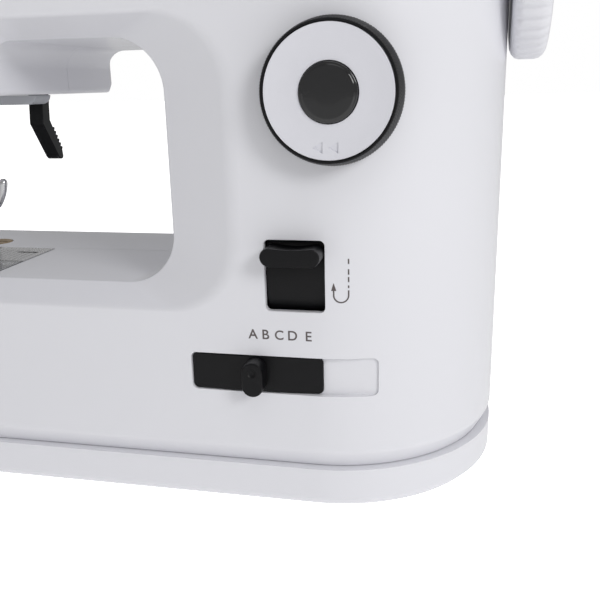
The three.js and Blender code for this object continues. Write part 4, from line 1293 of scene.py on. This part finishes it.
class SEWING_OT_stage(Build, bpy.types.Operator):
    """Floor, lights and camera"""
    bl_idname = "sewing.stage"
    bl_label = "Stage"

    def execute(self, context):
        scene = context.scene
        far = FLOOR_REACH
        spots = [(-far, -far, 0), (far, -far, 0), (far, far, 0), (-far, far, 0)]
        floor = make("floor", spots, [(0, 1, 2, 3)])
        pale = bpy.data.materials.new("Pale floor")
        pale.use_nodes = True
        shader = pale.node_tree.nodes["Principled BSDF"]
        shader.inputs["Base Color"].default_value = (0.9, 0.9, 0.9, 1)
        shader.inputs["Roughness"].default_value = 0.9
        shader.inputs["Specular IOR Level"].default_value = 0.1
        shader.inputs["Emission Color"].default_value = (1, 1, 1, 1)
        seen = pale.node_tree.nodes.new("ShaderNodeLightPath").outputs["Is Camera Ray"]
        glow = math_node(pale.node_tree, "MAXIMUM", seen, 0.3)
        feed(pale.node_tree, shader.inputs["Emission Strength"], glow)
        floor.data.materials.append(pale)
        self.sky(scene)
        self.lamp("key", Vector((1.0, -0.85, 0.75)), Vector((0.02, 0, 0.13)), 0.45, 7.0)
        self.lamp("top", Vector((0.2, -0.5, 1.2)), Vector((0.0, 0, 0.13)), 0.9, 2.0)
        scene.camera = self.camera()
        scene.view_settings.view_transform = "Standard"
        return {"FINISHED"}

    def sky(self, scene):
        world = bpy.data.worlds.new("Studio")
        world.use_nodes = True
        tree = world.node_tree
        where = tree.nodes.new("ShaderNodeTexCoord")
        parts = tree.nodes.new("ShaderNodeSeparateXYZ")
        feed(tree, parts.inputs[0], where.outputs["Generated"])
        strength = remap(tree, parts.outputs["Z"], 0.15, 0.7, 0.43, 0.3)
        seen = tree.nodes.new("ShaderNodeLightPath").outputs["Is Camera Ray"]
        backdrop = tree.nodes["Background"].inputs
        feed(tree, backdrop["Strength"], math_node(tree, "MAXIMUM", strength, seen))
        backdrop["Color"].default_value = (1, 1, 1, 1)
        scene.world = world

    def lamp(self, name, place, target, size, power):
        light = bpy.data.lights.new(name, "AREA")
        light.size = size
        light.energy = power
        lamp = add_object(name, light)
        lamp.location = place
        lamp.rotation_euler = (target - place).to_track_quat("-Z", "Y").to_euler()

    def camera(self):
        lens = bpy.data.cameras.new("camera")
        lens.lens = CAMERA_LENS
        lens.sensor_width = 36
        lens.clip_start = 0.01
        camera = add_object("camera", lens)
        right = Vector(CAMERA_RIGHT).normalized()
        ahead = Vector(CAMERA_AHEAD).normalized()
        up = right.cross(ahead)
        right = ahead.cross(up)
        turn = Matrix((right, up, -ahead)).transposed()
        camera.matrix_world = Matrix.Translation(CAMERA_PLACE) @ turn.to_4x4()
        return camera


STEPS = [SEWING_OT_inner, SEWING_OT_covers, SEWING_OT_tray, SEWING_OT_dial, SEWING_OT_lever,
         SEWING_OT_slider, SEWING_OT_markings, SEWING_OT_handwheel, SEWING_OT_lifter, SEWING_OT_head,
         SEWING_OT_bed, SEWING_OT_needle, SEWING_OT_presser, SEWING_OT_head_controls, SEWING_OT_winding,
         SEWING_OT_sockets, SEWING_OT_stage]


class SEWING_PT_panel(bpy.types.Panel):
    """Lists the settings and the steps of the sewing machine"""
    bl_idname = "SEWING_PT_panel"
    bl_label = "Sewing machine"
    bl_space_type = "VIEW_3D"
    bl_region_type = "UI"
    bl_category = "Sewing machine"

    def draw(self, context):
        for key, group in SETTINGS.items():
            column = self.layout.column(heading=key.replace("sewing_", "").capitalize())
            for name in group.__annotations__:
                column.prop(getattr(context.scene, key), name)
        for step in STEPS:
            self.layout.operator(step.bl_idname)


def register():
    for group in SETTINGS.values():
        bpy.utils.register_class(group)
    for key, group in SETTINGS.items():
        setattr(bpy.types.Scene, key, PointerProperty(type=group))
    for step in (*STEPS, SEWING_PT_panel):
        bpy.utils.register_class(step)


def unregister():
    for step in (SEWING_PT_panel, *reversed(STEPS)):
        bpy.utils.unregister_class(step)
    for key, group in SETTINGS.items():
        delattr(bpy.types.Scene, key)
        bpy.utils.unregister_class(group)


def main():
    register()
    for step in STEPS:
        getattr(bpy.ops.sewing, step.bl_idname.split(".")[1])()


if __name__ == "__main__":
    main()
